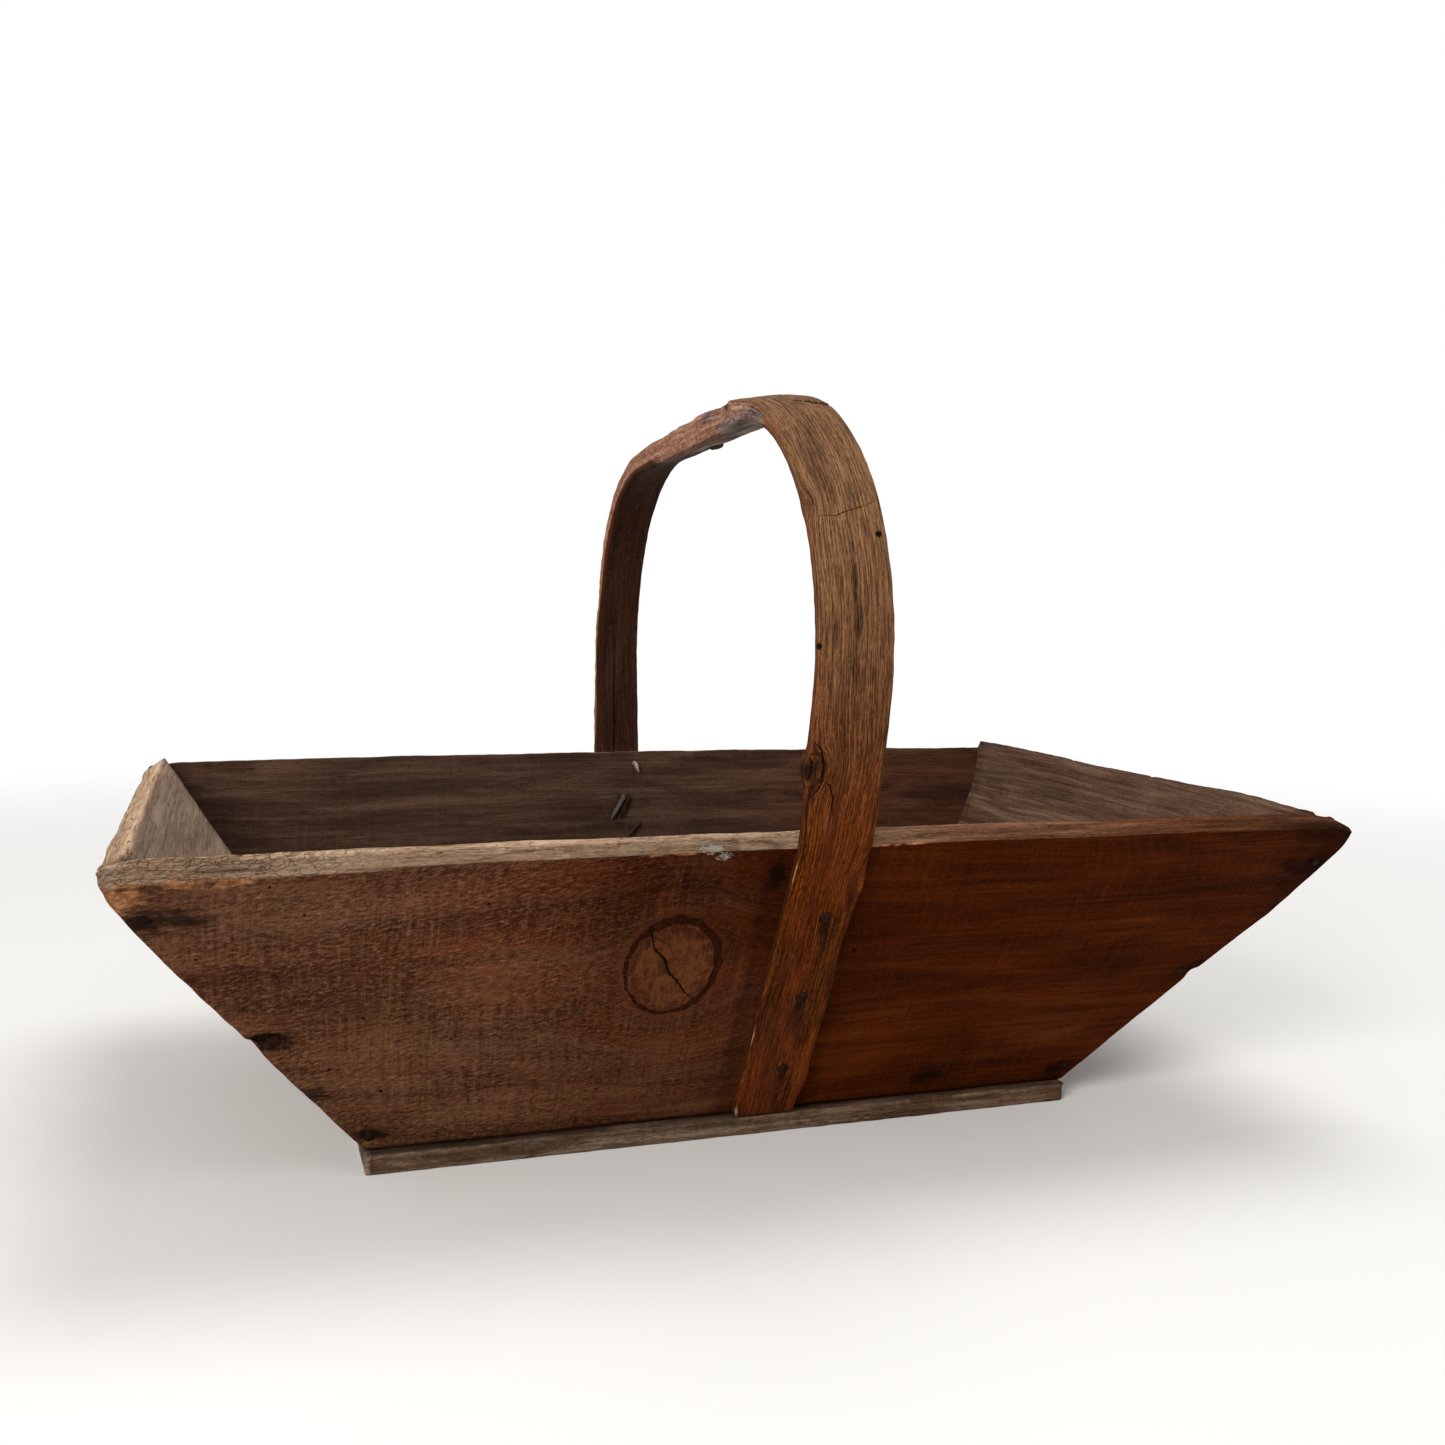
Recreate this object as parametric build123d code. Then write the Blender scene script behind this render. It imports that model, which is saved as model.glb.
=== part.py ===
from build123d import *
from math import atan2, cos, radians, sin, tan
import os

# A wooden garden trug. Two long side boards and two end boards lean outward from a flat base board.
# The ends stand between the sides, all four stand on the base board, and nails hold every joint.
# One split strap of wood is nailed to the front side, bends over the trug and is nailed to the back side.
# Millimetres. X runs along the trug, the front is at -Y, Z is up.
# The origin is the middle of the base board's underside.

# Walls
rim_length = 500.0        # over the tips of the sides, at their outer top arris
rim_width = 315.0         # over the sides, at their outer top arris
rim_height = 133.0        # outer top arris of the walls, above the ground
side_thickness = 10.3
end_thickness = 12.8
rim_crown = 2.0           # the sides' top edge rises this much in its middle
tip_radius = 4.0          # worn tips of the sides
arris_radius = 1.2        # worn long arrises of the walls

# Base board
base_length = 316.0
floor_width = 175.0       # over the sides' outer faces, where they meet the base board
base_thickness = 8.0
base_ledge = 5.5          # base board outside the sides, which carries the handle's feet
base_corner_radius = 2.5
base_arris_radius = 1.0

# Handle
strap_width = 29.0        # at the front foot
strap_thickness = 5.0     # of the sawn front leg
back_leg_thickness = 6.2
branch_thickness = 12.0   # of the half that was left round, over the top
strap_offset = 6.0        # from the middle of the trug to the middle of the strap
strap_crown = 0.5         # the legs' outer face is this much thicker in its middle
bow_rise = 173.5          # from the rim to the bow's upper corners
bend_rise = 5.0           # from the rim to the corner of the bend above it

# Nails
head_radius = 2.9
head_thickness = 1.1
shank_radius = 1.15
point_length = 4.0
nail_clearance = 0.08     # round every shank and head
corner_nail_length = 38.0
base_nail_length = 32.0
clinch_radius = 2.4       # of the bend in a nail that is bent over
overrun = 6.0             # of every cut past the wood

# Shapes, as shares of the sizes above
corner_nail_shares = (0.055, 0.44, 0.867)       # up the slope of the side
base_side_nail_shares = (-0.82, -0.3, 0.3, 0.82)        # of half the base board's length
base_end_nail_shares = (-0.55, 0.55)            # of half the floor's width
bend_start_share = 0.96           # of the bend's reach that its arc takes

# Corners of the bow over the trug: across (of half the rim's width), up (of the bow's rise above the rim),
# and the radius of the turn (of the same rise). First the front shoulder, then the back one and the belly
# of the back leg.
bow_corner_shares = (
    (-1.258, 1.0, 0.54),
    (0.834, 0.926, 0.49),
    (1.03, 0.437, 0.52),
)

# The strap's form from the front rim to the back rim: place along the bow, width (of the strap's width),
# thickness at the left arris, in the middle and at the right arris (of the branch), and twist in degrees.
bow_form_shares = (
    (0.0, 1.0, 0.38, 0.43, 0.38, 0.0),
    (0.04, 1.03, 0.42, 0.45, 0.38, 3.0),
    (0.13, 1.0, 0.38, 0.43, 0.38, 12.0),
    (0.28, 0.98, 0.44, 0.52, 0.5, 10.0),
    (0.40, 0.98, 0.72, 0.82, 0.64, 9.0),
    (0.47, 0.98, 0.84, 0.97, 0.68, 11.0),
    (0.65, 0.94, 0.64, 0.86, 0.54, 14.0),
    (0.83, 0.91, 0.42, 0.64, 0.42, 16.0),
    (1.0, 0.9, 0.46, 0.54, 0.46, 0.0),
)
bow_sections = 25

# Nails through the handle: place across (of the strap's width), place up the slope of the side (of its
# length), both for the head and for the point where the shank comes out, then the bent tip's length (of the
# strap's width) and its direction, in degrees from straight down.
front_strap_nails_shares = (
    (0.09, 0.21, 0.08, 0.2, 0.36, 24.0),
    (0.07, 0.49, 0.07, 0.5, 0.4, -12.0),
    (0.1, 0.787, 0.08, 0.78, 0.38, 31.0),
)
back_strap_nails_shares = (
    (0.02, 0.22, 0.03, 0.21, 0.38, 18.0),
    (0.2, 0.71, 0.15, 0.7, 0.33, 43.0),
    (-0.2, 0.83, -0.1, 0.815, 0.45, 34.0),
    (0.08, 0.825, 0.01, 0.808, 0.36, 27.0),
)
rim_nail_shares = (
    (0.26, 0.94, 0.21, 0.957, 0.12, -14.0),
)

# Derived from the sizes
wall_height = rim_height - base_thickness
side_lean = atan2((rim_width - floor_width) / 2, wall_height)
end_lean = atan2((rim_length - base_length) / 2, wall_height)
side_slope = wall_height / cos(side_lean)
end_slope = wall_height / cos(end_lean)
base_top = Plane.XY.offset(base_thickness)

FRONT, BACK = -1, 1
LEFT, RIGHT = -1, 1


def side_plane(face):
    """Outer face of a side: X along the trug, Y up the slope, Z out of the wood."""
    z_dir = (0, face * cos(side_lean), -sin(side_lean))
    return Plane(origin=(0, face * floor_width / 2, base_thickness), x_dir=(-face, 0, 0), z_dir=z_dir)


def end_plane(face):
    """Outer face of an end: X across the trug, Y up the slope, Z out of the wood."""
    z_dir = (face * cos(end_lean), 0, -sin(end_lean))
    return Plane(origin=(face * base_length / 2, 0, base_thickness), x_dir=(0, face, 0), z_dir=z_dir)


def side_point(face, x, up):
    """Point on a side's outer face, at its place along the trug and up the slope."""
    return side_plane(face).origin + Vector(x, 0, 0) + side_plane(face).y_dir * up


def make_side(face):
    """Long board: square-cut crowned rim, foot sawn level, ends sawn flush with the end boards."""
    half_foot = rim_length / 2 + overrun
    below = -side_thickness * tan(side_lean) - overrun
    outline = Line((-half_foot, side_slope), (-half_foot, below))
    outline += Line((-half_foot, below), (half_foot, below))
    outline += Line((half_foot, below), (half_foot, side_slope))
    outline += ThreePointArc((half_foot, side_slope), (0, side_slope + rim_crown), (-half_foot, side_slope))
    board = extrude(side_plane(face) * make_face(outline), -side_thickness)
    board = split(board, bisect_by=base_top, keep=Keep.TOP)
    for end in (LEFT, RIGHT):
        board = split(board, bisect_by=end_plane(end), keep=Keep.BOTTOM)
    tips = board.edges().filter_by(GeomType.LINE).sort_by(Axis.Z)[-2:]
    board = fillet(tips, tip_radius)
    return fillet(board.edges().filter_by(GeomType.CIRCLE), arris_radius)


def make_end(face):
    """Short board between the sides, square-cut at the rim."""
    blank = Pos(0, (end_slope - overrun) / 2) * Rectangle(rim_width, end_slope + overrun)
    below = end_thickness * tan(end_lean)
    blank += Pos(0, -below / 2) * Rectangle(rim_width, below + overrun)
    board = extrude(end_plane(face) * blank, -end_thickness)
    board = split(board, bisect_by=base_top, keep=Keep.TOP)
    for side in (FRONT, BACK):
        board = split(board, bisect_by=side_plane(side).offset(-side_thickness), keep=Keep.BOTTOM)
    rim = board.edges().filter_by(Axis.Y).sort_by(Axis.Z)[-2:]
    return fillet(rim, arris_radius)


def make_base():
    """Flat board under the four walls, with a ledge along the front and the back."""
    outline = RectangleRounded(base_length, floor_width + base_ledge * 2, base_corner_radius)
    board = extrude(outline, base_thickness)
    return fillet(board.faces().sort_by(Axis.Z)[0].edges(), base_arris_radius)


def strap_section(plane, width, left, middle, right):
    """Section of the strap: flat inner face and crowned outer face. Its left arris is on the X side."""
    half = width / 2
    outline = Polyline((half, left), (half, 0), (-half, 0), (-half, right))
    outline += ThreePointArc((-half, right), (0, middle), (half, left))
    return plane * make_face(outline)


def turn_radius(before, corner, after, reach):
    """Radius of the arc that starts at a given reach from the corner."""
    turn = (corner - before).get_angle(after - corner)
    return reach / tan(radians(turn) / 2)


def bow_path():
    """Inner face of the strap, from the front foot over the trug to the back foot."""
    feet = [side_point(face, strap_offset, 0) for face in (FRONT, BACK)]
    bends = [side_point(face, strap_offset, side_slope + bend_rise) for face in (FRONT, BACK)]
    corners = [
        Vector(strap_offset, across * rim_width / 2, rim_height + up * bow_rise)
        for across, up, turn in bow_corner_shares
    ]
    points = [feet[0], bends[0], *corners, bends[1], feet[1]]
    reach = bend_rise * bend_start_share
    radii = [turn_radius(*points[0:3], reach)]
    radii += [turn * bow_rise for across, up, turn in bow_corner_shares]
    radii += [turn_radius(*points[4:7], reach)]
    return FilletPolyline(*points, radius=radii)


def bow_form(place):
    """Row of the bow's form at a place along it, between the two rows beside it."""
    for low, high in zip(bow_form_shares, bow_form_shares[1:]):
        if place <= high[0]:
            share = (place - low[0]) / (high[0] - low[0])
            return [a + (b - a) * share for a, b in zip(low, high)]
    return list(bow_form_shares[-1])


def make_handle():
    """The split strap: two straight legs on the sides and the bow between them."""
    path = bow_path()
    low, high = side_slope, path.length - side_slope
    sections = []
    for i in range(bow_sections):
        place = i / (bow_sections - 1)
        along = low + (high - low) * place
        origin = path.position_at(along, position_mode=PositionMode.LENGTH)
        tangent = path.tangent_at(along, position_mode=PositionMode.LENGTH)
        row_place, width, left, middle, right, twist = bow_form(place)
        plane = Plane(origin=origin, x_dir=(-1, 0, 0), z_dir=tangent).rotated((0, 0, -twist))
        thicknesses = [share * branch_thickness for share in (left, middle, right)]
        sections.append(strap_section(plane, width * strap_width, *thicknesses))
    bow = loft(sections)
    front_foot = foot_section(FRONT, strap_width, strap_thickness)
    back_foot = foot_section(BACK, strap_width * bow_form_shares[-1][1], back_leg_thickness)
    front_leg = loft([front_foot, sections[0]], ruled=True)
    back_leg = loft([sections[-1], back_foot], ruled=True)
    strap = bow + front_leg + back_leg
    return split(strap, bisect_by=base_top, keep=Keep.TOP)


def foot_section(face, width, thickness):
    """Section of a leg below the base board's top, where it is sawn off level."""
    origin = side_point(face, strap_offset, -thickness * tan(side_lean) - overrun)
    up_slope = side_plane(face).y_dir * -face
    plane = Plane(origin=origin, x_dir=(-1, 0, 0), z_dir=up_slope)
    arris = thickness - strap_crown
    return strap_section(plane, width, arris, thickness, arris)


class Nail:
    """A nail driven into a face, its head let in until it is flush.

    entry is where its axis meets the face, normal points out of that face, and aim is a point on the axis.
    """

    def __init__(self, entry, normal, aim, length=0.0, clinch=None):
        self.axis = (aim - entry).normalized()
        tilt = radians((-self.axis).get_angle(normal))
        self.seat = entry + self.axis * (head_thickness + head_radius * tan(tilt))
        self.length = length
        self.clinch = clinch

    def plane(self):
        return Plane(origin=self.seat, z_dir=-self.axis)

    def head(self):
        return self.plane() * Pos(0, 0, head_thickness / 2) * Cylinder(head_radius, head_thickness)

    def solid(self):
        start = self.plane()
        if self.clinch is None:
            straight = self.length - point_length
            shank = start * Pos(0, 0, -straight / 2) * Cylinder(shank_radius, straight)
            tip = start * Pos(0, 0, -straight - point_length / 2) * Rot(180, 0, 0)
            return self.head() + shank + tip * Cone(shank_radius, 0, point_length)
        bend, end = self.clinch
        wire = FilletPolyline(self.seat, bend, end, radius=clinch_radius)
        shank = sweep(start * Circle(shank_radius), path=wire)
        tip_plane = Plane(origin=end, z_dir=end - bend)
        tip = tip_plane * Pos(0, 0, point_length / 2) * Cone(shank_radius, 0, point_length)
        return self.head() + shank + tip

    def bore(self):
        """What the nail takes out of the wood: its shank's hole and its head's seat, with clearance."""
        reach = self.length
        if self.clinch is not None:
            reach = (self.clinch[0] - self.seat).length
        reach += nail_clearance
        shank = Pos(0, 0, -reach / 2) * Cylinder(shank_radius + nail_clearance, reach)
        height = head_thickness + head_radius * 2 + overrun
        head = Pos(0, 0, height / 2) * Cylinder(head_radius + nail_clearance, height)
        return self.plane() * (shank + head)


def strap_nails(face, thickness, rows):
    """Nails through a leg of the handle and the side behind it, bent over on the side's inner face."""
    nails = []
    plane = side_plane(face)
    for across, up, out_across, out_up, tip, direction in rows:
        entry = side_point(face, strap_offset + across * strap_width, up * side_slope)
        entry += plane.z_dir * thickness
        out = side_point(face, strap_offset + out_across * strap_width, out_up * side_slope)
        out -= plane.z_dir * side_thickness
        axis = (out - entry).normalized()
        bend = out + axis * clinch_radius
        down = plane.y_dir * -cos(radians(direction)) - Vector(sin(radians(direction)), 0, 0)
        end = bend + down * tip * strap_width
        nails.append(Nail(entry, plane.z_dir, out, clinch=(bend, end)))
    return nails


def corner_nails(side, end):
    """Nails through a side into the middle of the end board's edge."""
    nails = []
    plane, into = side_plane(side), end_plane(end)
    inset = end_thickness / 2 / cos(end_lean)
    aim = -plane.z_dir - into.z_dir * (-plane.z_dir).dot(into.z_dir)
    for up in corner_nail_shares:
        x = base_length / 2 + up * (rim_length - base_length) / 2 - inset
        entry = side_point(side, end * x, up * side_slope)
        nails.append(Nail(entry, plane.z_dir, entry + aim, corner_nail_length))
    return nails


def base_nails(plane, thickness, lean, half_run, shares):
    """Nails up through the base board into a wall's lower edge, aimed up the middle of the wall."""
    nails = []
    inset = thickness / 2 / cos(lean) + base_thickness * tan(lean)
    outward = Vector(plane.z_dir.X, plane.z_dir.Y, 0).normalized()
    for share in shares:
        entry = Vector(plane.origin.X, plane.origin.Y, 0) - outward * inset
        entry += plane.x_dir * share * half_run
        nails.append(Nail(entry, Vector(0, 0, -1), entry + plane.y_dir, base_nail_length))
    return nails


def cut(wood, nails):
    for nail in nails:
        wood -= nail.bore()
    return wood


nails = {
    "front_handle_nails": strap_nails(FRONT, strap_thickness, front_strap_nails_shares),
    "back_handle_nails": strap_nails(BACK, back_leg_thickness, back_strap_nails_shares),
    "back_rim_nail": strap_nails(BACK, back_leg_thickness, rim_nail_shares),
}
for side_name, side in (("front", FRONT), ("back", BACK)):
    for end_name, end in (("left", LEFT), ("right", RIGHT)):
        nails[f"{side_name}_{end_name}_corner_nails"] = corner_nails(side, end)
    run = base_length / 2
    nails[f"base_{side_name}_nails"] = base_nails(
        side_plane(side), side_thickness, side_lean, run, base_side_nail_shares
    )
for end_name, end in (("left", LEFT), ("right", RIGHT)):
    run = floor_width / 2
    nails[f"base_{end_name}_nails"] = base_nails(
        end_plane(end), end_thickness, end_lean, run, base_end_nail_shares
    )


def driven_into(*words):
    """All nails whose group's name holds one of the words."""
    return [nail for name, group in nails.items() if any(word in name for word in words) for nail in group]


wood = {
    "front_side": cut(make_side(FRONT), driven_into("front")),
    "back_side": cut(make_side(BACK), driven_into("back")),
    "left_end": cut(make_end(LEFT), driven_into("left")),
    "right_end": cut(make_end(RIGHT), driven_into("right")),
    "base_board": cut(make_base(), driven_into("base")),
    "handle": cut(make_handle(), driven_into("handle", "rim")),
}

for name, piece in wood.items():
    export_step(piece, f"parts/{name}.step")
for name, group in nails.items():
    export_step(Compound(children=[nail.solid() for nail in group]), f"parts/{name}.step")
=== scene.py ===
from functools import partial
from itertools import product
from math import atan2, ceil, cos, pi, radians, sin, tan

import bpy
import numpy as np
from mathutils import Matrix


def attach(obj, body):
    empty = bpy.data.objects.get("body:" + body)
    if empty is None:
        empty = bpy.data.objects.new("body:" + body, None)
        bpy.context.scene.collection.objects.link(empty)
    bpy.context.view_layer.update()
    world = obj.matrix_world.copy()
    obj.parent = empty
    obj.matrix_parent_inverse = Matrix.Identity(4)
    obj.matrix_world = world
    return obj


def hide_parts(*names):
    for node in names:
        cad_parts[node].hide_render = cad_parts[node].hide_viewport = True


# Looks of a wooden garden trug. Every board, the handle and the nails are dense meshes that stand in for
# the plain solids: worn arrises, dents, cracks and knots are in the mesh, and the grain is in the materials.
# All sizes are in millimetres until a mesh is made.

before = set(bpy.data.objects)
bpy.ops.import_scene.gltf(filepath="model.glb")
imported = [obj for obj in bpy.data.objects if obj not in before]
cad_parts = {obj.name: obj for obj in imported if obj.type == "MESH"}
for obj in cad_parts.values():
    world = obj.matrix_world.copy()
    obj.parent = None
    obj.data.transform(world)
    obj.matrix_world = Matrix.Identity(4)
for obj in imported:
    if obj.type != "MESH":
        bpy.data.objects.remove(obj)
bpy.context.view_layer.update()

MM = 0.001
FRONT, BACK = -1, 1
LEFT, RIGHT = -1, 1

# Sizes of the trug
RIM_LENGTH = 500.0
RIM_WIDTH = 315.0
RIM_HEIGHT = 133.0
RIM_CROWN = 2.0
SIDE_THICKNESS = 10.3
END_THICKNESS = 12.8
BASE_LENGTH = 316.0
FLOOR_WIDTH = 175.0
BASE_THICKNESS = 8.0
BASE_LEDGE = 5.5
STRAP_WIDTH = 29.0
STRAP_THICKNESS = 5.0
BACK_LEG_THICKNESS = 6.2
BRANCH_THICKNESS = 12.0
STRAP_OFFSET = 6.0
STRAP_CROWN = 0.5
BOW_RISE = 173.5
BEND_RISE = 5.0
BEND_START_SHARE = 0.96
HEAD_RADIUS = 2.9
HEAD_THICKNESS = 1.1
SHANK_RADIUS = 1.15
CLINCH_RADIUS = 2.4
POINT_LENGTH = 4.0
CORNER_NAIL_LENGTH = 38.0
BASE_NAIL_LENGTH = 32.0
CORNER_NAIL_SHARES = (0.055, 0.44, 0.867)
BASE_SIDE_NAIL_SHARES = (-0.82, -0.3, 0.3, 0.82)
BASE_END_NAIL_SHARES = (-0.55, 0.55)

WALL_HEIGHT = RIM_HEIGHT - BASE_THICKNESS
SIDE_SPREAD = (RIM_WIDTH - FLOOR_WIDTH) / 2
END_SPREAD = (RIM_LENGTH - BASE_LENGTH) / 2
SIDE_LEAN = atan2(SIDE_SPREAD, WALL_HEIGHT)
END_LEAN = atan2(END_SPREAD, WALL_HEIGHT)
SIDE_SLOPE = WALL_HEIGHT / cos(SIDE_LEAN)
END_SLOPE = WALL_HEIGHT / cos(END_LEAN)

# Corners of the bow: across (of half the rim's width), up (of the bow's rise), radius (of the rise)
BOW_CORNER_SHARES = ((-1.258, 1.0, 0.54), (0.834, 0.926, 0.49), (1.03, 0.437, 0.52))
# Form of the strap over the trug: place, width (of the strap's), thickness at the left arris, in the middle
# and at the right arris (of the branch's), twist in degrees
BOW_FORM_SHARES = (
    (0.0, 1.0, 0.38, 0.43, 0.38, 0.0),
    (0.04, 1.03, 0.42, 0.45, 0.38, 3.0),
    (0.13, 1.0, 0.38, 0.43, 0.38, 12.0),
    (0.28, 0.98, 0.44, 0.52, 0.5, 10.0),
    (0.40, 0.98, 0.72, 0.82, 0.64, 9.0),
    (0.47, 0.98, 0.84, 0.97, 0.68, 11.0),
    (0.65, 0.94, 0.64, 0.86, 0.54, 14.0),
    (0.83, 0.91, 0.42, 0.64, 0.42, 16.0),
    (1.0, 0.9, 0.46, 0.54, 0.46, 0.0),
)


# Vectors, curves and noise

def unit(v):
    v = np.asarray(v, float)
    return v / np.maximum(np.linalg.norm(v, axis=-1, keepdims=True), 1e-12)


def smooth(low, high, value):
    """0 below low, 1 above high, and a soft rise between."""
    t = np.clip((value - low) / (high - low), 0, 1)
    return t * t * (3 - 2 * t)


def fade(low, high, value):
    """1 below low and 0 above high."""
    return 1 - smooth(low, high, value)


def noise(points, size, seed):
    """Soft noise from about -1 to 1, with waves as long as size, one number or one for each axis."""
    rng = np.random.default_rng(seed)
    order = np.tile(rng.permutation(256), 2)
    slopes = unit(rng.normal(size=(256, 3)))
    p = np.asarray(points, float) / np.asarray(size, float)
    cell = np.floor(p).astype(int)
    part = p - cell
    blend = part ** 3 * (part * (part * 6 - 15) + 10)
    total = np.zeros(len(p))
    for corner in product((0, 1), repeat=3):
        at = (cell + corner) % 256
        slope = slopes[order[order[order[at[:, 0]] + at[:, 1]] + at[:, 2]]]
        weight = np.where(corner, blend, 1 - blend).prod(axis=1)
        total += weight * (slope * (part - corner)).sum(axis=1)
    return total * 1.7


def run_along(line):
    """Length of a line of points up to each of them."""
    return np.concatenate(([0], np.cumsum(np.linalg.norm(np.diff(line, axis=0), axis=1))))


def follow(at, run, line):
    """Values of a line at some lengths along it."""
    return np.stack([np.interp(at, run, line[:, k]) for k in range(3)], axis=1)


def half_angle(before, corner, after):
    """Half of the angle between the two legs of a corner."""
    return np.arccos(np.clip(unit(before - corner) @ unit(after - corner), -1, 1)) / 2


def rounded_path(points, radii, step=0.5):
    """Lengths and places along a line of points whose corners are rounded to arcs."""
    line = [points[0]]
    for before, corner, after, radius in zip(points, points[1:], points[2:], radii):
        come, go = unit(before - corner), unit(after - corner)
        half = half_angle(before, corner, after)
        centre = corner + unit(come + go) * radius / sin(half)
        start = corner + come * radius / tan(half) - centre
        end = corner + go * radius / tan(half) - centre
        across = unit(end - start * (start @ end) / radius ** 2) * radius
        for turn in np.linspace(0, pi - 2 * half, 60):
            line.append(centre + start * cos(turn) + across * sin(turn))
    line = np.array([*line, points[-1]])
    run = run_along(line)
    even = np.linspace(0, run[-1], ceil(run[-1] / step))
    return even, follow(even, run, line)


def groove(x, y, path):
    """Signed distance from a line of points, and the share along it, below 0 or above 1 past its ends."""
    path = np.asarray(path, float)
    starts = run_along(path)
    best = np.full(len(x), 1e9)
    signed = np.full(len(x), 1e9)
    share = np.zeros(len(x))
    for k, step in enumerate(np.diff(starts)):
        way = (path[k + 1] - path[k]) / step
        dx, dy = x - path[k, 0], y - path[k, 1]
        run = dx * way[0] + dy * way[1]
        side = dx * way[1] - dy * way[0]
        held = np.clip(run, 0, step)
        gap = np.hypot(run - held, side)
        closer = gap < best
        best[closer] = gap[closer]
        signed[closer] = (np.sign(side) * gap)[closer]
        first, last = k == 0, k == len(path) - 2
        kept = np.where((run < 0) & first | (run > step) & last, run, held)
        share[closer] = ((starts[k] + kept) / starts[-1])[closer]
    return signed, share


# Planes of the boards

class Wall:
    """Outer face of a leaning wall: along it, up its slope and out of the wood."""

    def __init__(self, along, out, half_foot, lean):
        self.along = np.array(along, float)
        level = np.array(out, float)
        self.origin = level * half_foot + (0, 0, BASE_THICKNESS)
        self.out = level * cos(lean) - (0, 0, sin(lean))
        self.up = level * sin(lean) + (0, 0, cos(lean))

    def at(self, along, up, out=0.0):
        return self.origin + self.along * along + self.up * up + self.out * out

    def plane(self, depth=0.0):
        """Point and normal of the plane as deep as that in the wood."""
        return self.origin - self.out * depth, self.out

    def grain(self, points):
        """Millimetres along the wall, up its slope and in from its outer face."""
        apart = points - self.origin
        return np.stack([apart @ self.along, apart @ self.up, -(apart @ self.out)], axis=1)


SIDES = {face: Wall((1, 0, 0), (0, face, 0), FLOOR_WIDTH / 2, SIDE_LEAN) for face in (FRONT, BACK)}
ENDS = {face: Wall((0, 1, 0), (face, 0, 0), BASE_LENGTH / 2, END_LEAN) for face in (LEFT, RIGHT)}
# The base board's upper face is a wall laid flat
FLOOR = Wall((1, 0, 0), (0, FRONT, 0), 0, -pi / 2)


def meet(*planes):
    """Point where three planes meet, each given by a point and its normal."""
    normals = np.array([normal for point, normal in planes])
    return np.linalg.solve(normals, [point @ normal for point, normal in planes])


def wall_corners(wall, thickness, slope, ends):
    """Corners of a wall that stands on the floor and is cut off by two planes, in the order of (low, high)
    along, up and out."""
    levels = (FLOOR.plane(), (wall.at(0, slope), wall.up))
    skins = (wall.plane(thickness), wall.plane())
    return np.reshape([meet(*planes) for planes in product(ends, levels, skins)], (2, 2, 2, 3))


# Skins of boards

def grid_lines(length, step, near, windows=()):
    """Places from 0 to 1 across a length: near apart at its ends, step apart between, finer in windows."""
    t = np.linspace(0, length, 6000)
    gap = np.minimum(step, near + 0.25 * np.minimum(t, length - t))
    for centre, reach, fine in windows:
        gap = np.minimum(gap, fine + 0.25 * np.maximum(0, np.abs(t - centre) - reach))
    count = np.concatenate(([0], np.cumsum((t[1] - t[0]) / gap[1:])))
    total = ceil(count[-1])
    lines = np.interp(np.linspace(0, count[-1], total + 1), count, t) / length
    lines[-1] = 1.0
    return lines


def shell(lengths, gaps, windows):
    """Skin of a box: places from 0 to 1, and quads for each of its six faces."""
    lines = [grid_lines(length, *gap, near) for length, gap, near in zip(lengths, gaps, windows)]
    counts = [len(line) for line in lines]
    skin = np.zeros(counts, bool)
    for axis in range(3):
        for side in (0, -1):
            skin[(slice(None),) * axis + (side,)] = True
    index = np.full(counts, -1)
    index[skin] = np.arange(skin.sum())
    where = np.argwhere(skin)
    places = np.stack([lines[axis][where[:, axis]] for axis in range(3)], axis=1)
    charts = []
    for axis in range(3):
        for side in (0, counts[axis] - 1):
            sheet = index.take(side, axis=axis)
            if axis == 1:
                sheet = sheet.T
            square = (sheet[:-1, :-1], sheet[1:, :-1], sheet[1:, 1:], sheet[:-1, 1:])
            quads = np.stack(square, -1).reshape(-1, 4)
            charts.append((axis, quads if side else quads[:, ::-1]))
    return places, charts


def lay_out(charts, places, lengths):
    """Flat map of a box's six faces, stacked under each other."""
    maps = []
    top = 0.0
    margin = max(lengths) * 0.006
    for axis, quads in charts:
        a, b = (axis + 1) % 3, (axis + 2) % 3
        if lengths[a] < lengths[b]:
            a, b = b, a
        flat = np.stack([places[quads, a] * lengths[a], places[quads, b] * lengths[b] + top], axis=-1)
        maps.append(flat.reshape(-1, 2))
        top += lengths[b] + margin
    flat = np.concatenate(maps)
    return flat / flat.max()


def join(charts):
    return np.concatenate([quads for axis, quads in charts])


def spread(places, corners):
    """Points of a box that is pulled out to eight corners."""
    points = np.zeros(places.shape)
    for corner in product((0, 1), repeat=3):
        share = np.where(corner, places, 1 - places).prod(axis=1)
        points += share[:, None] * corners[corner]
    return points


def round_edges(places, lengths, radius):
    """Rounds the edges of a box's skin. radius has one value for each vertex."""
    half = np.asarray(lengths) / 2
    p = (places - 0.5) * lengths
    inner = half - radius[:, None]
    core = np.clip(p, -inner, inner)
    reach = np.linalg.norm(p - core, axis=1)
    scale = np.where(reach > 0, radius / np.maximum(reach, 1e-9), 1)
    return (core + (p - core) * scale[:, None]) / lengths + 0.5


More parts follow.
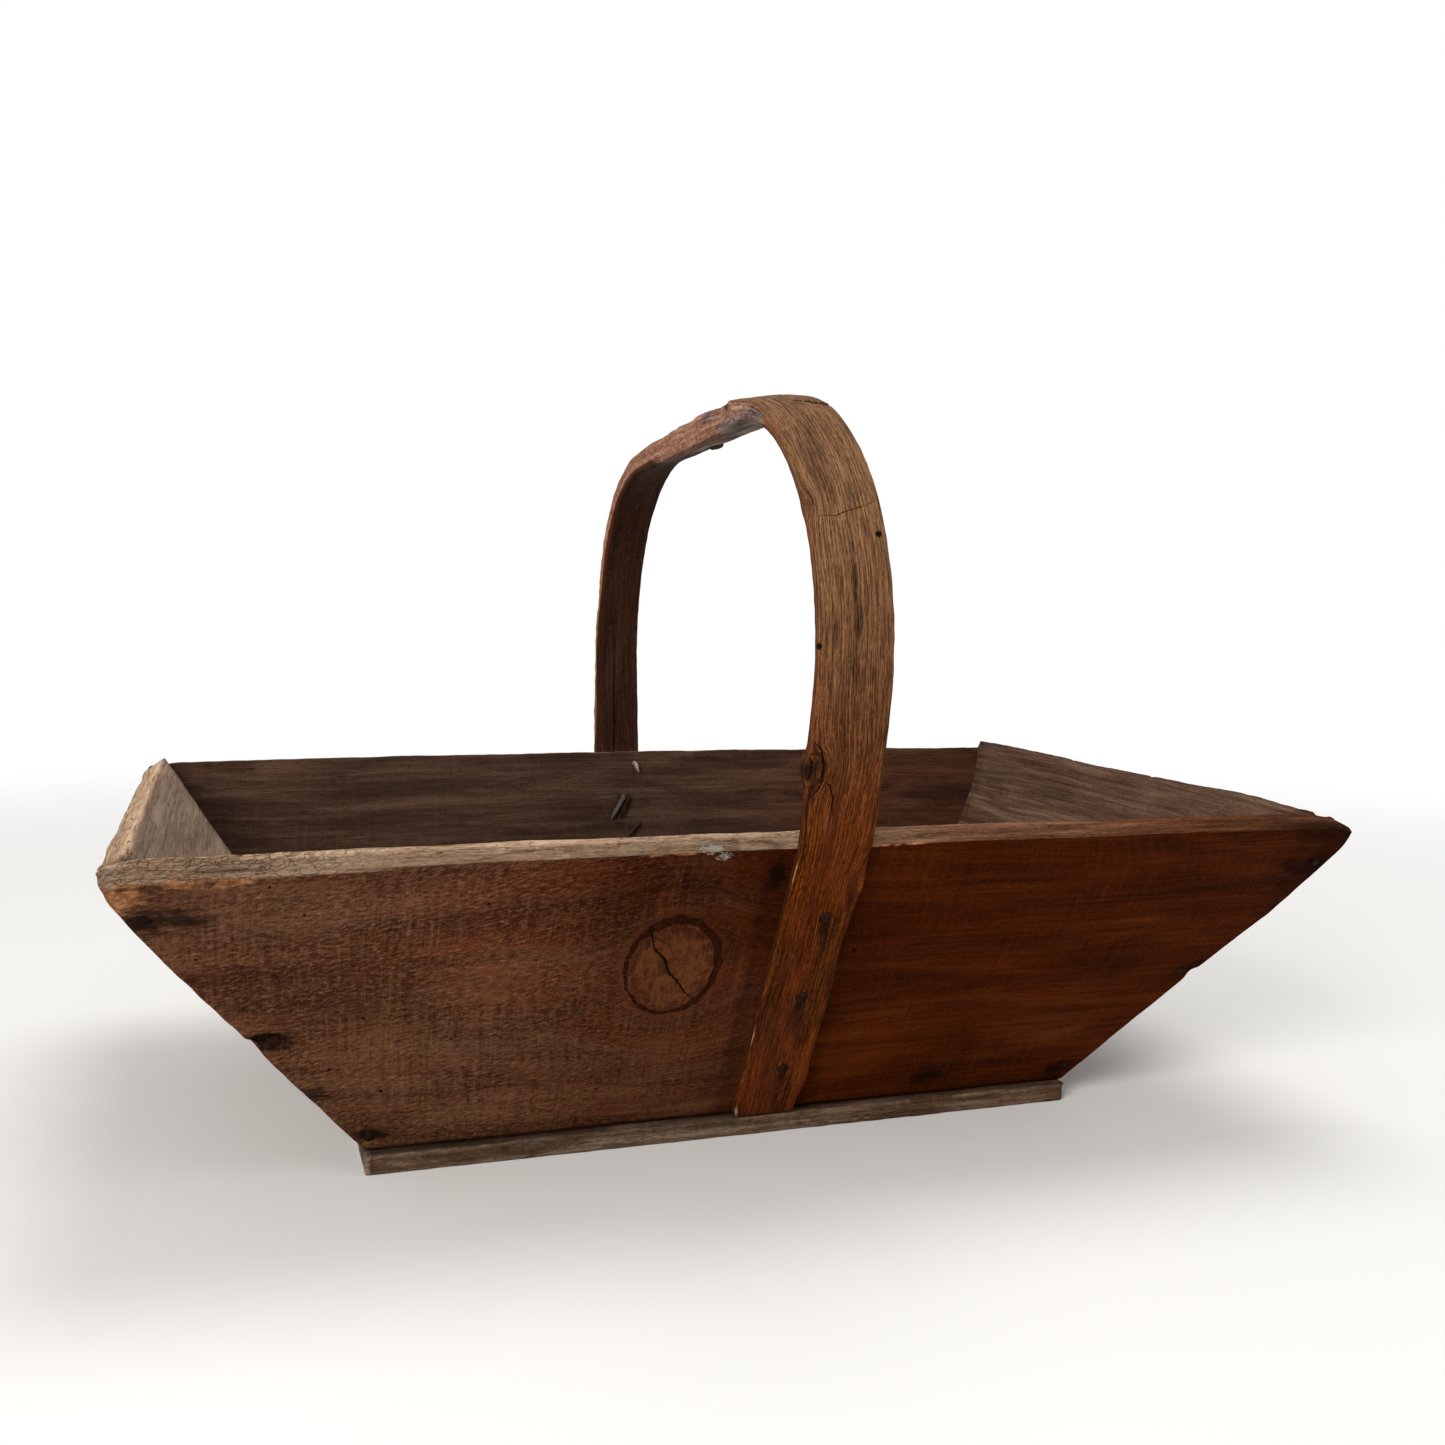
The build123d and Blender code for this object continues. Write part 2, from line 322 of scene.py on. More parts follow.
def round_corner(places, lengths, high_along, high_up, radius):
    """Rounds one corner of a board's outline, through its whole thickness."""
    ends = (high_along, high_up)
    from_edge = [((1 - places[:, k]) if ends[k] else places[:, k]) * lengths[k] for k in (0, 1)]
    in_corner = np.stack([np.clip(radius - d, 0, None) for d in from_edge], axis=1)
    near = (in_corner > 0).all(axis=1)
    span = np.linalg.norm(in_corner, axis=1)
    turned = in_corner * (in_corner.max(axis=1) / np.maximum(span, 1e-9))[:, None]
    out = places.copy()
    for k in (0, 1):
        share = (radius - turned[:, k]) / lengths[k]
        out[near, k] = ((1 - share) if ends[k] else share)[near]
    return out


def normals_of(points, quads):
    a, b, c, d = (points[quads[:, k]] for k in range(4))
    faces = np.cross(c - a, d - b)
    total = np.zeros_like(points)
    for k in range(4):
        np.add.at(total, quads[:, k], faces)
    return unit(total)


def add_piece(name, points, quads, flat, fields, material, node, mirrored=False):
    """Makes a mesh piece that stands for a node of the frame and rides on its body."""
    if mirrored:
        quads = quads[:, ::-1]
        flat = flat.reshape(-1, 4, 2)[:, ::-1].reshape(-1, 2)
    mesh = bpy.data.meshes.new(name)
    mesh.vertices.add(len(points))
    mesh.vertices.foreach_set("co", (np.asarray(points) * MM).ravel())
    mesh.loops.add(quads.size)
    mesh.loops.foreach_set("vertex_index", quads.ravel())
    mesh.polygons.add(len(quads))
    mesh.polygons.foreach_set("loop_start", np.arange(0, quads.size, 4))
    mesh.update(calc_edges=True)
    mesh.polygons.foreach_set("use_smooth", np.ones(len(quads), bool))
    mesh.uv_layers.new(name="OFBake").data.foreach_set("uv", flat.ravel())
    for field, values in fields.items():
        kind, value = ("FLOAT_VECTOR", "vector") if values.ndim == 2 else ("FLOAT", "value")
        mesh.attributes.new(field, kind, "POINT").data.foreach_set(value, values.ravel())
    mesh.materials.append(material)
    piece = bpy.data.objects.new(name, mesh)
    bpy.context.scene.collection.objects.link(piece)
    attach(piece, "root")
    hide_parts(node)


# Colours

def srgb(red, green, blue):
    """A colour as it is seen on a screen, from 0 to 255, for a shader."""
    shares = [v / 255 for v in (red, green, blue)]
    return tuple(v / 12.92 if v <= 0.04045 else ((v + 0.055) / 1.055) ** 2.4 for v in shares) + (1.0,)


def tones(*colours):
    """Dark, middle and light colour of one wood."""
    return [srgb(*colour) for colour in colours]


WARM_WOOD = srgb(112, 52, 25)
SAWN_LIGHT = srgb(142, 94, 62)
# Pale torn fibres, partly painted highlights on them
TORN_FIBRE_AND_HIGHLIGHT = srgb(164, 116, 82)
KNOT_DARK = srgb(58, 28, 13)
KNOT_LIGHT = srgb(98, 56, 30)
STRAP_KNOT_LIGHT = srgb(88, 48, 24)
KNOT_HALO = srgb(60, 27, 11)
KNOT_COLLAR = srgb(32, 10, 4)
WORN_WOOD = srgb(208, 150, 104)
WORN_DEEP = srgb(152, 96, 60)
# Pale wood, also used for painted sheen on the handle's underside
SAPWOOD_AND_SHEEN = srgb(184, 168, 148)
CRACK_DARK = srgb(36, 26, 20)
IRON_STAIN = srgb(26, 16, 12)
# Dark of dirt, of dark grain marks and of painted shade
GRIME_AND_SHADE = srgb(36, 22, 14)
HOLE_DARK = srgb(10, 6, 4)
PAINT_SPLASH = srgb(190, 184, 174)
DEEP_LIGHT = srgb(104, 50, 14)
DEEP_DARK = srgb(22, 7, 1)
DEEP_STAIN = srgb(12, 4, 1)
IRON_DARK = srgb(16, 10, 7)
IRON_RUST = srgb(42, 22, 12)
IRON_WORN = srgb(52, 36, 27)
IRON_BRIGHT = srgb(150, 140, 130)
PORE_LIGHT = srgb(126, 68, 24)
FADED_AND_LIT_PORE_LIGHT = srgb(160, 118, 80)

DEEP_OUTER = tones((38, 11, 0), (61, 21, 1), (84, 37, 7))
OLD_OUTER = tones((64, 39, 25), (100, 62, 42), (134, 92, 64))
OLD_FADED = tones((84, 54, 38), (116, 80, 59), (146, 106, 80))
OLD_INNER = tones((38, 26, 19), (55, 39, 30), (76, 57, 45))
GREY_INNER = tones((95, 78, 65), (134, 112, 95), (164, 142, 123))
BROWN_INNER = tones((58, 41, 31), (88, 65, 52), (118, 92, 74))
RIM_TAN = tones((98, 74, 56), (166, 136, 110), (206, 178, 149))
RIM_BROWN = tones((54, 29, 15), (86, 49, 28), (126, 84, 54))
RIM_PALE = tones((136, 108, 84), (172, 142, 114), (200, 172, 144))
RIM_DARK = tones((48, 33, 25), (76, 54, 41), (104, 80, 62))
BASE_FACE = tones((48, 36, 27), (82, 64, 49), (126, 106, 88))
STRAP_OUTER = tones((22, 6, 0), (58, 21, 0), (120, 62, 16))
# The handle's paler upper wood: partly faded, partly painted light from above
STRAP_FADED_AND_LIT = tones((78, 52, 33), (108, 76, 51), (136, 102, 73))
STRAP_INNER = tones((32, 17, 11), (50, 30, 21), (72, 47, 34))
BARK = tones((100, 62, 47), (146, 100, 78), (180, 140, 116))
OLD_BARK = tones((70, 52, 48), (108, 84, 78), (150, 128, 120))


# Nodes

class Wire:
    """Output of a node, so that sums of nodes are written as sums."""

    def __init__(self, tree, socket):
        self.tree = tree
        self.socket = socket

    def math(self, operation, *others):
        return self.tree.node("ShaderNodeMath", (self, *others), operation=operation)

    def __add__(self, other):
        return self.math("ADD", other)

    def __sub__(self, other):
        return self.math("SUBTRACT", other)

    def __mul__(self, other):
        return self.math("MULTIPLY", other)

    def __truediv__(self, other):
        return self.math("DIVIDE", other)

    def size(self):
        return self.math("ABSOLUTE")

    def rise(self, low, high, start=0.0, end=1.0):
        """start below low, end above high, and a soft change between."""
        values = (self, low, high, start, end)
        return self.tree.node("ShaderNodeMapRange", values, interpolation_type="SMOOTHSTEP")

    def fall(self, low, high):
        return self.rise(low, high, 1.0, 0.0)


class Tree:
    """Node tree of a material or a world."""

    def __init__(self, owner):
        owner.use_nodes = True
        self.owner = owner
        self.nodes = owner.node_tree.nodes
        self.links = owner.node_tree.links

    def feed(self, socket, value):
        if isinstance(value, Wire):
            self.links.new(value.socket, socket)
        else:
            socket.default_value = value

    def node(self, kind, inputs=(), out=0, **settings):
        made = self.nodes.new(kind)
        for name, value in settings.items():
            setattr(made, name, value)
        pairs = inputs.items() if isinstance(inputs, dict) else enumerate(inputs)
        for slot, value in pairs:
            self.feed(made.inputs[slot], value)
        return Wire(self, made.outputs[out])

    def field(self, name):
        return self.node("ShaderNodeAttribute", out="Fac", attribute_name=name)

    def grain(self):
        """Place in the wood: along the fibres, across them and into the wood, in millimetres."""
        place = self.node("ShaderNodeAttribute", out="Vector", attribute_name="grain")
        return [self.node("ShaderNodeSeparateXYZ", (place,), out=k) for k in range(3)]

    def place(self, along, across, depth):
        return self.node("ShaderNodeCombineXYZ", (along, across, depth))

    def vector(self, operation, place, *others):
        out = "Vector" if operation == "MULTIPLY" else "Value"
        return self.node("ShaderNodeVectorMath", (place, *others), out=out, operation=operation)

    def noise(self, place, detail=2.0, rough=0.5, twist=0.0):
        inputs = {"Vector": place, "Scale": 1.0, "Detail": detail, "Roughness": rough, "Distortion": twist}
        return self.node("ShaderNodeTexNoise", inputs, out=0)

    def cells(self, place, feature="F1", out="Distance"):
        return self.node("ShaderNodeTexVoronoi", {"Vector": place, "Scale": 1.0}, out=out, feature=feature)

    def mix(self, share, low, high):
        return self.node("ShaderNodeMix", {0: share, 6: low, 7: high}, out=2, data_type="RGBA")

    def seen(self):
        """1 for what the camera sees, straight or in a glossy face."""
        straight = self.node("ShaderNodeLightPath", out="Is Camera Ray")
        return straight.math("MAXIMUM", self.node("ShaderNodeLightPath", out="Is Glossy Ray"))

    def finish(self, colour, roughness, height, metallic=0.0, specular=0.35):
        """Height is in millimetres."""
        bump = self.node("ShaderNodeBump", {"Strength": 1.0, "Distance": MM, "Height": height})
        inputs = {"Base Color": colour, "Roughness": roughness, "Normal": bump, "Metallic": metallic}
        for name, value in {**inputs, "Specular IOR Level": specular}.items():
            self.feed(self.nodes["Principled BSDF"].inputs[name], value)
        return self.owner


class Wood(Tree):
    """Old sawn wood: each step lays colour and height, in millimetres, over what is there."""

    def __init__(self, name, seed):
        super().__init__(bpy.data.materials.new(name))
        self.along, self.across, self.depth = self.grain()
        self.shift = seed * 37.0
        self.inside = self.field("inside")
        self.shade = self.field("deep")
        self.dark = self.mix(self.shade, GRIME_AND_SHADE, DEEP_DARK)
        self.fibre_light_and_highlight = self.mix(self.shade, TORN_FIBRE_AND_HIGHLIGHT, DEEP_LIGHT)

    def waves(self, long, wide, detail=2.0, rough=0.5, shift=1.0, along=None, side=None, deep=None,
              twist=0.0):
        """Noise with so many waves in a millimetre along the fibres, across them and, as deep, into the wood."""
        deep = wide if deep is None else deep
        third = self.depth * deep + self.shift * shift if deep else self.shift * shift
        place = self.place((along or self.along) * long, (side or self.across) * wide, third)
        return self.noise(place, detail, rough, twist)

    def outside(self, share):
        """1 on the outer face, and less by a share on the inner one."""
        return self.inside * -share + 1.0

    def ragged(self, name, noise, strength, low, high, start=0.3):
        """A field whose edge is made ragged by noise."""
        field = self.field(name)
        return (field + (noise - 0.5) * strength * field.rise(0.02, start)).rise(low, high)

    def painted(self, colours):
        """Dark, middle or light colour, as the grain has it."""
        dark, middle, light = colours
        low = self.mix(self.tone.rise(0.0, 0.55), dark, middle)
        return self.mix(self.tone.rise(0.45, 1.0), low, light)

    def lay(self, mask, share, colour, height=0.0):
        """Lays a share of a colour where the mask is 1, and raises the wood there."""
        self.colour = self.mix(mask * share, self.colour, colour)
        if height:
            self.height = self.height + mask * height

    def bend_grain(self, knots):
        """Leads the fibres round the knots."""
        self.flow = self.across
        self.hearts = []
        self.calm = self.round_knots = self.inside * 0.0 + 1.0
        for cx, cy, rx, ry, lean, heart, ring in knots:
            x, y = self.along - cx, self.across - cy
            over = (x * cos(lean) + y * sin(lean)) / rx
            above = (y * cos(lean) - x * sin(lean)) / ry
            uneven = self.waves(3.2 / rx, 3.2 / ry, 3.0, 0.6, deep=0.02) - 0.5
            far = (over.math("POWER", 2.0) + above.math("POWER", 2.0)).math("SQRT")
            far = far + uneven * (0.34 - ring * 0.16)
            part = (far * far).math("MAXIMUM", 1.0)
            self.flow = self.flow - (self.flow - cy) / part * 0.92
            self.hearts.append((far, over, above, heart, ring))
            self.calm = self.calm * (far.rise(1.0, 1.25) * 0.75 + 0.25)
            self.round_knots = self.round_knots * far.rise(1.2, 2.2)

    def grow(self, pith, ring_gap, figure, fine, sway):
        """Year rings, broad bands, streaks and fibres, weighed by figure, and the tone that they make."""
        drift = self.waves(0.0055, 0.018) - 0.5
        up = self.flow - pith[0] + drift * sway
        inward = self.depth + pith[1]
        radius = (up * up + inward * inward).math("SQRT")
        self.straight = self.flow + drift * (sway * 0.3)
        rings = self.noise(self.place(radius / ring_gap, self.shift, 0.0), 2.0, 0.45)
        band = self.waves(0.016, 0.1, 4.0, 0.6, side=self.flow, twist=0.8)
        streak = self.waves(0.016, fine, 5.0, 0.7, side=self.straight)
        fibre = self.waves(0.34, 1.7, 3.0, 0.75, side=self.flow)
        total, reach = sum(figure) / 2, sum(share ** 2 for share in figure) ** 0.5 * 0.25
        tone = rings * figure[0] + band * figure[1] + streak * figure[2] + fibre * figure[3]
        self.tone = tone.rise(total - reach, total + reach)
        self.height = rings * 0.12 + streak * 0.16 + fibre * 0.1

    def colour_faces(self, outer, inner, faded_and_lit):
        self.colour = self.mix(self.inside, self.painted(outer), self.painted(inner))
        # Paler wood by the next field: faded, and on the handle partly painted light from above
        if faded_and_lit:
            self.colour = self.mix(self.field("faded_and_lit"), self.colour, self.painted(faded_and_lit))
        hue = self.waves(0.012, 0.05, 3.0, 0.55, -1.0, side=self.flow)
        self.lay(self.field("warm") * hue.rise(0.36, 0.62), 0.75, WARM_WOOD)
        deep = (self.shade + (hue - 0.5) * 0.7 * self.shade).rise(0.0, 1.0)
        self.lay(deep, 1.0, self.painted(DEEP_OUTER))
        patch = self.waves(0.014, 0.05, 4.0, 0.6, 0.7, side=self.flow)
        uneven = self.round_knots * (self.shade * -0.4 + 1.0)
        self.lay(patch.fall(0.36, 0.5) * (self.inside * -0.34 + 0.4), uneven, self.dark)
        self.lay(patch.rise(0.52, 0.66) * (self.inside * -0.2 + 0.24), self.field("fuzz"), self.fibre_light_and_highlight)

    def draw_knots(self, light):
        for far, over, above, heart, ring in self.hearts:
            blot = self.waves(0.24, 0.24, 4.0, 0.75, deep=0)
            grown = self.noise(self.place(far * 3.4, blot * 1.2, self.shift), 2.0, 0.6)
            rays = self.waves(0.5, 0.11, 3.0, 0.7, deep=0)
            core = self.mix((blot * 0.45 + grown * 0.2 + rays * 0.35).rise(0.44, 0.56), KNOT_DARK, light)
            core = self.mix(far.fall(0.25, 0.95) * heart, core, KNOT_COLLAR)
            self.lay(far.fall(0.8, 1.0) * (ring * 0.45 + 0.4), self.outside(0.75), core)
            swell = self.waves(0.07, 0.07, 1.0, shift=-1.0, deep=0)
            thick = (over * 0.02 + above * 0.014 + 0.052 + (swell - 0.5) * 0.14).math("MAXIMUM", 0.026)
            collar = ((far - 0.95).size() / thick).fall(0.85, 1.3) * far.fall(1.25, 1.45) * self.outside(0.6)
            self.lay((far - 1.15).size().fall(0.05, 0.5), 0.3, KNOT_HALO)
            self.lay(collar, ring * 0.95, KNOT_COLLAR)
            self.height = self.height - collar * (ring * 0.3)

    def draw_pores(self, light, faded_and_lit_pore_light):
        """Short lines along the fibres, dark and light."""
        line = self.waves(0.06, 1.9, 4.0, 0.75, -1.0, side=self.straight)
        plain = self.outside(0.65)
        self.lay(line.fall(0.38, 0.48) * plain, 0.55, self.dark, -0.18)
        lit = line.rise(0.53, 0.62) * plain
        # Where the handle is painted lighter from above, the light lines are paler too
        self.lay(lit, self.field("fuzz") * 0.5 + 0.35, self.mix(self.field("faded_and_lit"), light, faded_and_lit_pore_light))

    def draw_saw_lines(self, strength):
        """Lines that the saw left across the fibres: light lines, and dark lines of painted shade in their
        grooves.
        """
        wave = self.waves(0.02, 0.02, 1.0, deep=0) * 2.5
        place = self.place(self.along * 0.62 + wave, self.across * 0.02, self.depth * 0.05 - self.shift)
        line = self.noise(place, 4.0, 0.85)
        where = self.waves(0.03, 0.04, shift=0.3, deep=0).rise(0.36, 0.56) * (self.outside(0.75) * strength)
        where = where * (self.field("fuzz") * 0.66 + 0.34) * self.calm
        self.lay(line.rise(0.52, 0.6) * where, 0.4, self.mix(self.shade, SAWN_LIGHT, DEEP_LIGHT), 0.16)
        # Dark lines: painted shade in the saw's grooves
        self.lay(line.fall(0.4, 0.48) * where, 0.4, self.dark, -0.16)

    def draw_torn_fibres(self, strength):
        leaning = self.along * 0.97 + self.across * 0.24
        hair = self.waves(0.34, 0.85, 5.0, 0.85, along=leaning, side=self.across * 0.97 - self.along * 0.24)
        where = self.waves(0.03, 0.06, shift=-1.0, deep=0).rise(0.25, 0.6) * 0.55 + 0.45
        where = where * (self.field("fuzz") * 0.85 + 0.15) * self.outside(0.9) * strength * self.calm
        # Light dashes: paler torn fibres, partly painted highlights on them
        self.lay(hair.rise(0.51, 0.6) * where, 0.66, self.fibre_light_and_highlight, 0.55)
        self.lay(hair.fall(0.4, 0.49) * where, 0.75, self.dark, -0.55)

    def draw_rim(self, rim, dull_rim):
        self.rough_top = self.waves(0.06, 0.3, 3.0, 0.65)
        self.top = (self.field("rim") + (self.rough_top - 0.5) * 0.8).rise(0.3, 0.7)
        colour = self.painted(rim)
        if dull_rim:
            colour = self.mix(self.field("dull"), colour, self.painted(dull_rim))
        self.lay(self.top, 1.0, colour)

    def draw_wear(self):
        """Bare worn wood on arrises, and pale sapwood; the pale on the strap's underside is painted sheen."""
        self.worn = (self.field("worn") + (self.rough_top - 0.5) * 0.9).rise(0.42, 0.8)
        flake = self.waves(0.22, 0.5, 4.0, 0.8, -1.0)
        self.lay(self.worn, 0.8, self.mix(flake.rise(0.42, 0.6), WORN_DEEP, WORN_WOOD))
        self.height = self.height + (flake - 0.5) * 0.5 * self.worn
        self.lay(self.ragged("pale", flake, 0.8, 0.1, 0.9), 0.85, SAPWOOD_AND_SHEEN)

    def draw_checks(self, strength):
        """Fine cracks along the fibres, and the scales of a weathered tip."""
        split = self.waves(0.032, 0.42, 2.0, 0.55, -1.0, side=self.flow)
        where = self.waves(0.03, 0.09, 1.0, side=self.flow)
        width = (where + self.top * 0.24).rise(0.5, 0.8) * 0.02 * strength
        self.lay(((split - 0.5).size() / (width + 0.0004)).fall(0.4, 1.0), 0.75, CRACK_DARK, -0.4)
        curve = self.waves(0.2, 0.2, shift=0) * 2.6
        place = self.place(self.along * 0.24 + curve, self.across * 0.34, self.depth * 0.34 + curve)
        net = self.cells(place, "DISTANCE_TO_EDGE").fall(0.01, 0.1)
        self.lay(net * self.field("scales") * self.rough_top.rise(0.3, 0.5), 0.6, CRACK_DARK, -0.5)

    def draw_dirt_and_shade(self):
        blotch = self.waves(0.1, 0.28, 4.0, 0.65, side=self.flow)
        stain = self.mix(self.shade, IRON_STAIN, DEEP_STAIN)
        self.lay(self.ragged("stain", blotch, 1.8, 0.15, 0.9), 0.85, stain)
        # Darkening by the next field: dirt, and painted shade along the feet, in inner corners and at joints
        self.lay(self.ragged("grime_and_shade", blotch, 0.9, 0.1, 0.95), 0.8, self.dark)

    def draw_holes(self, holes):
        """Worm holes: a few at random, and those of the list."""
        place = self.place(self.along * 0.03, self.across * 0.03, self.shift * 0.11)
        lot = self.node("ShaderNodeSeparateColor", (self.cells(place, out="Color"),), out=0)
        hole = self.cells(place).fall(0.012, 0.022) * lot.rise(0.58, 0.62)
        flat = self.place(self.along, self.across, 0.0)
        jag = (self.rough_top - 0.5) * 1.4
        for x, y, size in holes:
            near = (self.vector("DISTANCE", flat, (x, y, 0.0)) + jag).fall(size * 0.7, size * 1.15)
            hole = hole.math("MAXIMUM", near * self.depth.fall(1.0, 2.0))
        self.lay(hole, 0.95, HOLE_DARK, -0.8)

    def draw_open_cracks(self):
        opened = self.field("crack_width")
        wobble = (self.waves(0.5, 0.5, 3.0, 0.65, 0) - 0.5) * 1.5
        slit = ((self.field("crack") + wobble).size() / (opened + 0.001)).fall(0.5, 1.1)
        self.lay(slit * opened.rise(0.02, 0.12), 0.95, HOLE_DARK, -0.4)

    def draw_paint(self):
        chipped = self.waves(0.5, 1.1, 4.0, 0.75)
        self.lay(self.ragged("paint", chipped, 4.2, 0.45, 0.8, start=0.25), 0.72, PAINT_SPLASH)


def wood(name, outer, inner, rim, seed, pith=(40.0, 90.0), ring_gap=5.0, figure=(0.25, 0.5, 0.35, 0.3), saw=0.0,
         fuzz=0.0, pore_lights=None, fine=0.62, sway=26.0, knots=(), knot_light=KNOT_LIGHT, holes=(), checks=0.5,
         roughness=0.75, specular=0.018, faded_and_lit=None, dull_rim=None):
    """Material of a piece. outer, inner and rim are the colours of its faces and its worn top.

    figure weighs rings, broad bands, streaks and fibres. saw is the strength of the saw's lines across the
    fibres, fuzz of torn fibres, checks of fine cracks. pore_lights are the colours between dark pores. knots
    are (along, across, half length, half height, lean, how dark its heart is, how clear its collar), holes
    (along, across, radius).
    """
    tree = Wood(name, seed)
    tree.bend_grain(knots)
    tree.grow(pith, ring_gap, figure, fine, sway)
    tree.colour_faces(outer, inner, faded_and_lit)
    tree.draw_knots(knot_light)
    if pore_lights:
        tree.draw_pores(*pore_lights)
    if saw:
        tree.draw_saw_lines(saw)
    if fuzz:
        tree.draw_torn_fibres(fuzz)
    tree.draw_rim(rim, dull_rim)
    tree.draw_wear()
    tree.draw_checks(checks)
    tree.draw_dirt_and_shade()
    tree.draw_holes(holes)
    tree.draw_open_cracks()
    tree.draw_paint()
    rough = tree.waves(0.05, 0.7, shift=0) * 0.16 + (roughness - 0.08)
    return tree.finish(tree.colour, rough - tree.worn * 0.08, tree.height, specular=specular)


# Wear, dirt and painted shade of the boards

FIELD_NAMES = ("worn", "rim", "dull", "scales", "stain", "grime_and_shade", "crack_width", "paint", "warm", "deep", "faded_and_lit",
               "inside", "fuzz", "pale")
NO_CRACK = 9.0


def ellipses(x, y, spots):
    """Soft field, highest in the middle of each spot (x, y, half length, half height, height) and 0 past it."""
    field = np.zeros(len(x))
    for cx, cy, rx, ry, high in spots:
        field = np.maximum(field, high * fade(0.25, 1.3, np.hypot((x - cx) / rx, (y - cy) / ry)))
    return field


def dents(x, y, spots):
    """Depth of dents (x, y, half length, half height, depth)."""
    return sum(
        deep * fade(0.45, 1.15, np.hypot((x - cx) / rx, (y - cy) / ry)) for cx, cy, rx, ry, deep in spots
    )


class Fields(dict):
    """Values at each vertex, for the materials."""

    def __init__(self, count):
        super().__init__({name: np.zeros(count) for name in FIELD_NAMES}, crack=np.full(count, NO_CRACK))

    def add(self, name, *layers):
        """Raises a field to the highest of some layers."""
        for layer in layers:
            self[name] = np.maximum(self[name], layer)

    def open_crack(self, x, y, where, path, width):
        """Adds one crack, where is 1. Returns how open it is at each place."""
        signed, share = groove(x, y, path)
        middle = np.clip(np.sin(np.clip(share, 0, 1) * pi), 0, 1)
        opened = width * middle ** 0.5 * (share > 0) * (share < 1) * where * (np.abs(signed) < 6)
        nearer = (opened > 0) & (np.abs(signed) < np.abs(self["crack"]))
        self["crack"] = np.where(nearer, signed, self["crack"])
        self["crack_width"] = np.where(nearer, opened, self["crack_width"])
        return opened * np.clip(1 - np.abs(signed) / 1.2, 0, 1)


# How far the sawn ends of the walls stand out of their plane, and how far the front board stands out past them:
# share of the wall's height, millimetres
BOWS = {
    LEFT: ((-0.01, 2.2), (0.0, 1.8), (0.14, 2.0), (0.28, 2.4), (0.45, 2.4), (0.72, 2.8), (0.86, 1.8), (1.0, 0.4)),
    RIGHT: ((-0.01, -6.4), (0.0, -4.4), (0.17, -2.0), (0.31, 0.4), (0.45, 1.8), (0.66, 4.6), (0.86, 4.0),
            (1.0, 0.0), (1.03, -2.2)),
}
PROUD = {
    LEFT: ((0.1, 0.0), (0.3, 0.6), (0.6, 1.4), (0.8, 1.9), (0.93, 2.4), (0.97, 1.0), (1.0, -0.8), (1.03, -1.6)),
    RIGHT: ((0.35, 0.0), (0.5, 1.2), (0.66, 3.8), (0.86, 4.6), (0.9, 5.4), (0.93, 5.2), (0.96, 4.0), (1.0, 1.2),
            (1.03, 0.6)),
}
# How far the inner corner of the front board's right tip is worn away, and the back board's left tip
RIGHT_TIP_CUT = 4.0
BACK_TIP_CUT = 2.2
HALF_REACH = 251.0


def settle(points, node):
    """Moves the ends of the walls as the photograph shows them, neither straight nor alike."""
    points = points.copy()
    x, high = points[:, 0].copy(), points[:, 2]
    proud = node.startswith("front_")
    if node == "back_side":
        points[:, 0] += BACK_TIP_CUT * smooth(222, 249, -x)
    if proud:
        into = smooth(0.5, SIDE_THICKNESS, SIDES[FRONT].grain(points)[:, 2])
        tip = smooth(RIM_HEIGHT - 16, RIM_HEIGHT - 5, high) * smooth(222, 249, x)
        points[:, 0] -= RIGHT_TIP_CUT * into * tip
    share = (high - BASE_THICKNESS) / WALL_HEIGHT
    for side in (LEFT, RIGHT):
        out = np.interp(share, *np.transpose(BOWS[side]))
        if proud:
            out = out + np.interp(share, *np.transpose(PROUD[side]))
        points[:, 0] += side * out * smooth(45, 150, side * x)
    points[:, 0] = np.clip(points[:, 0], -HALF_REACH, HALF_REACH)
    return points


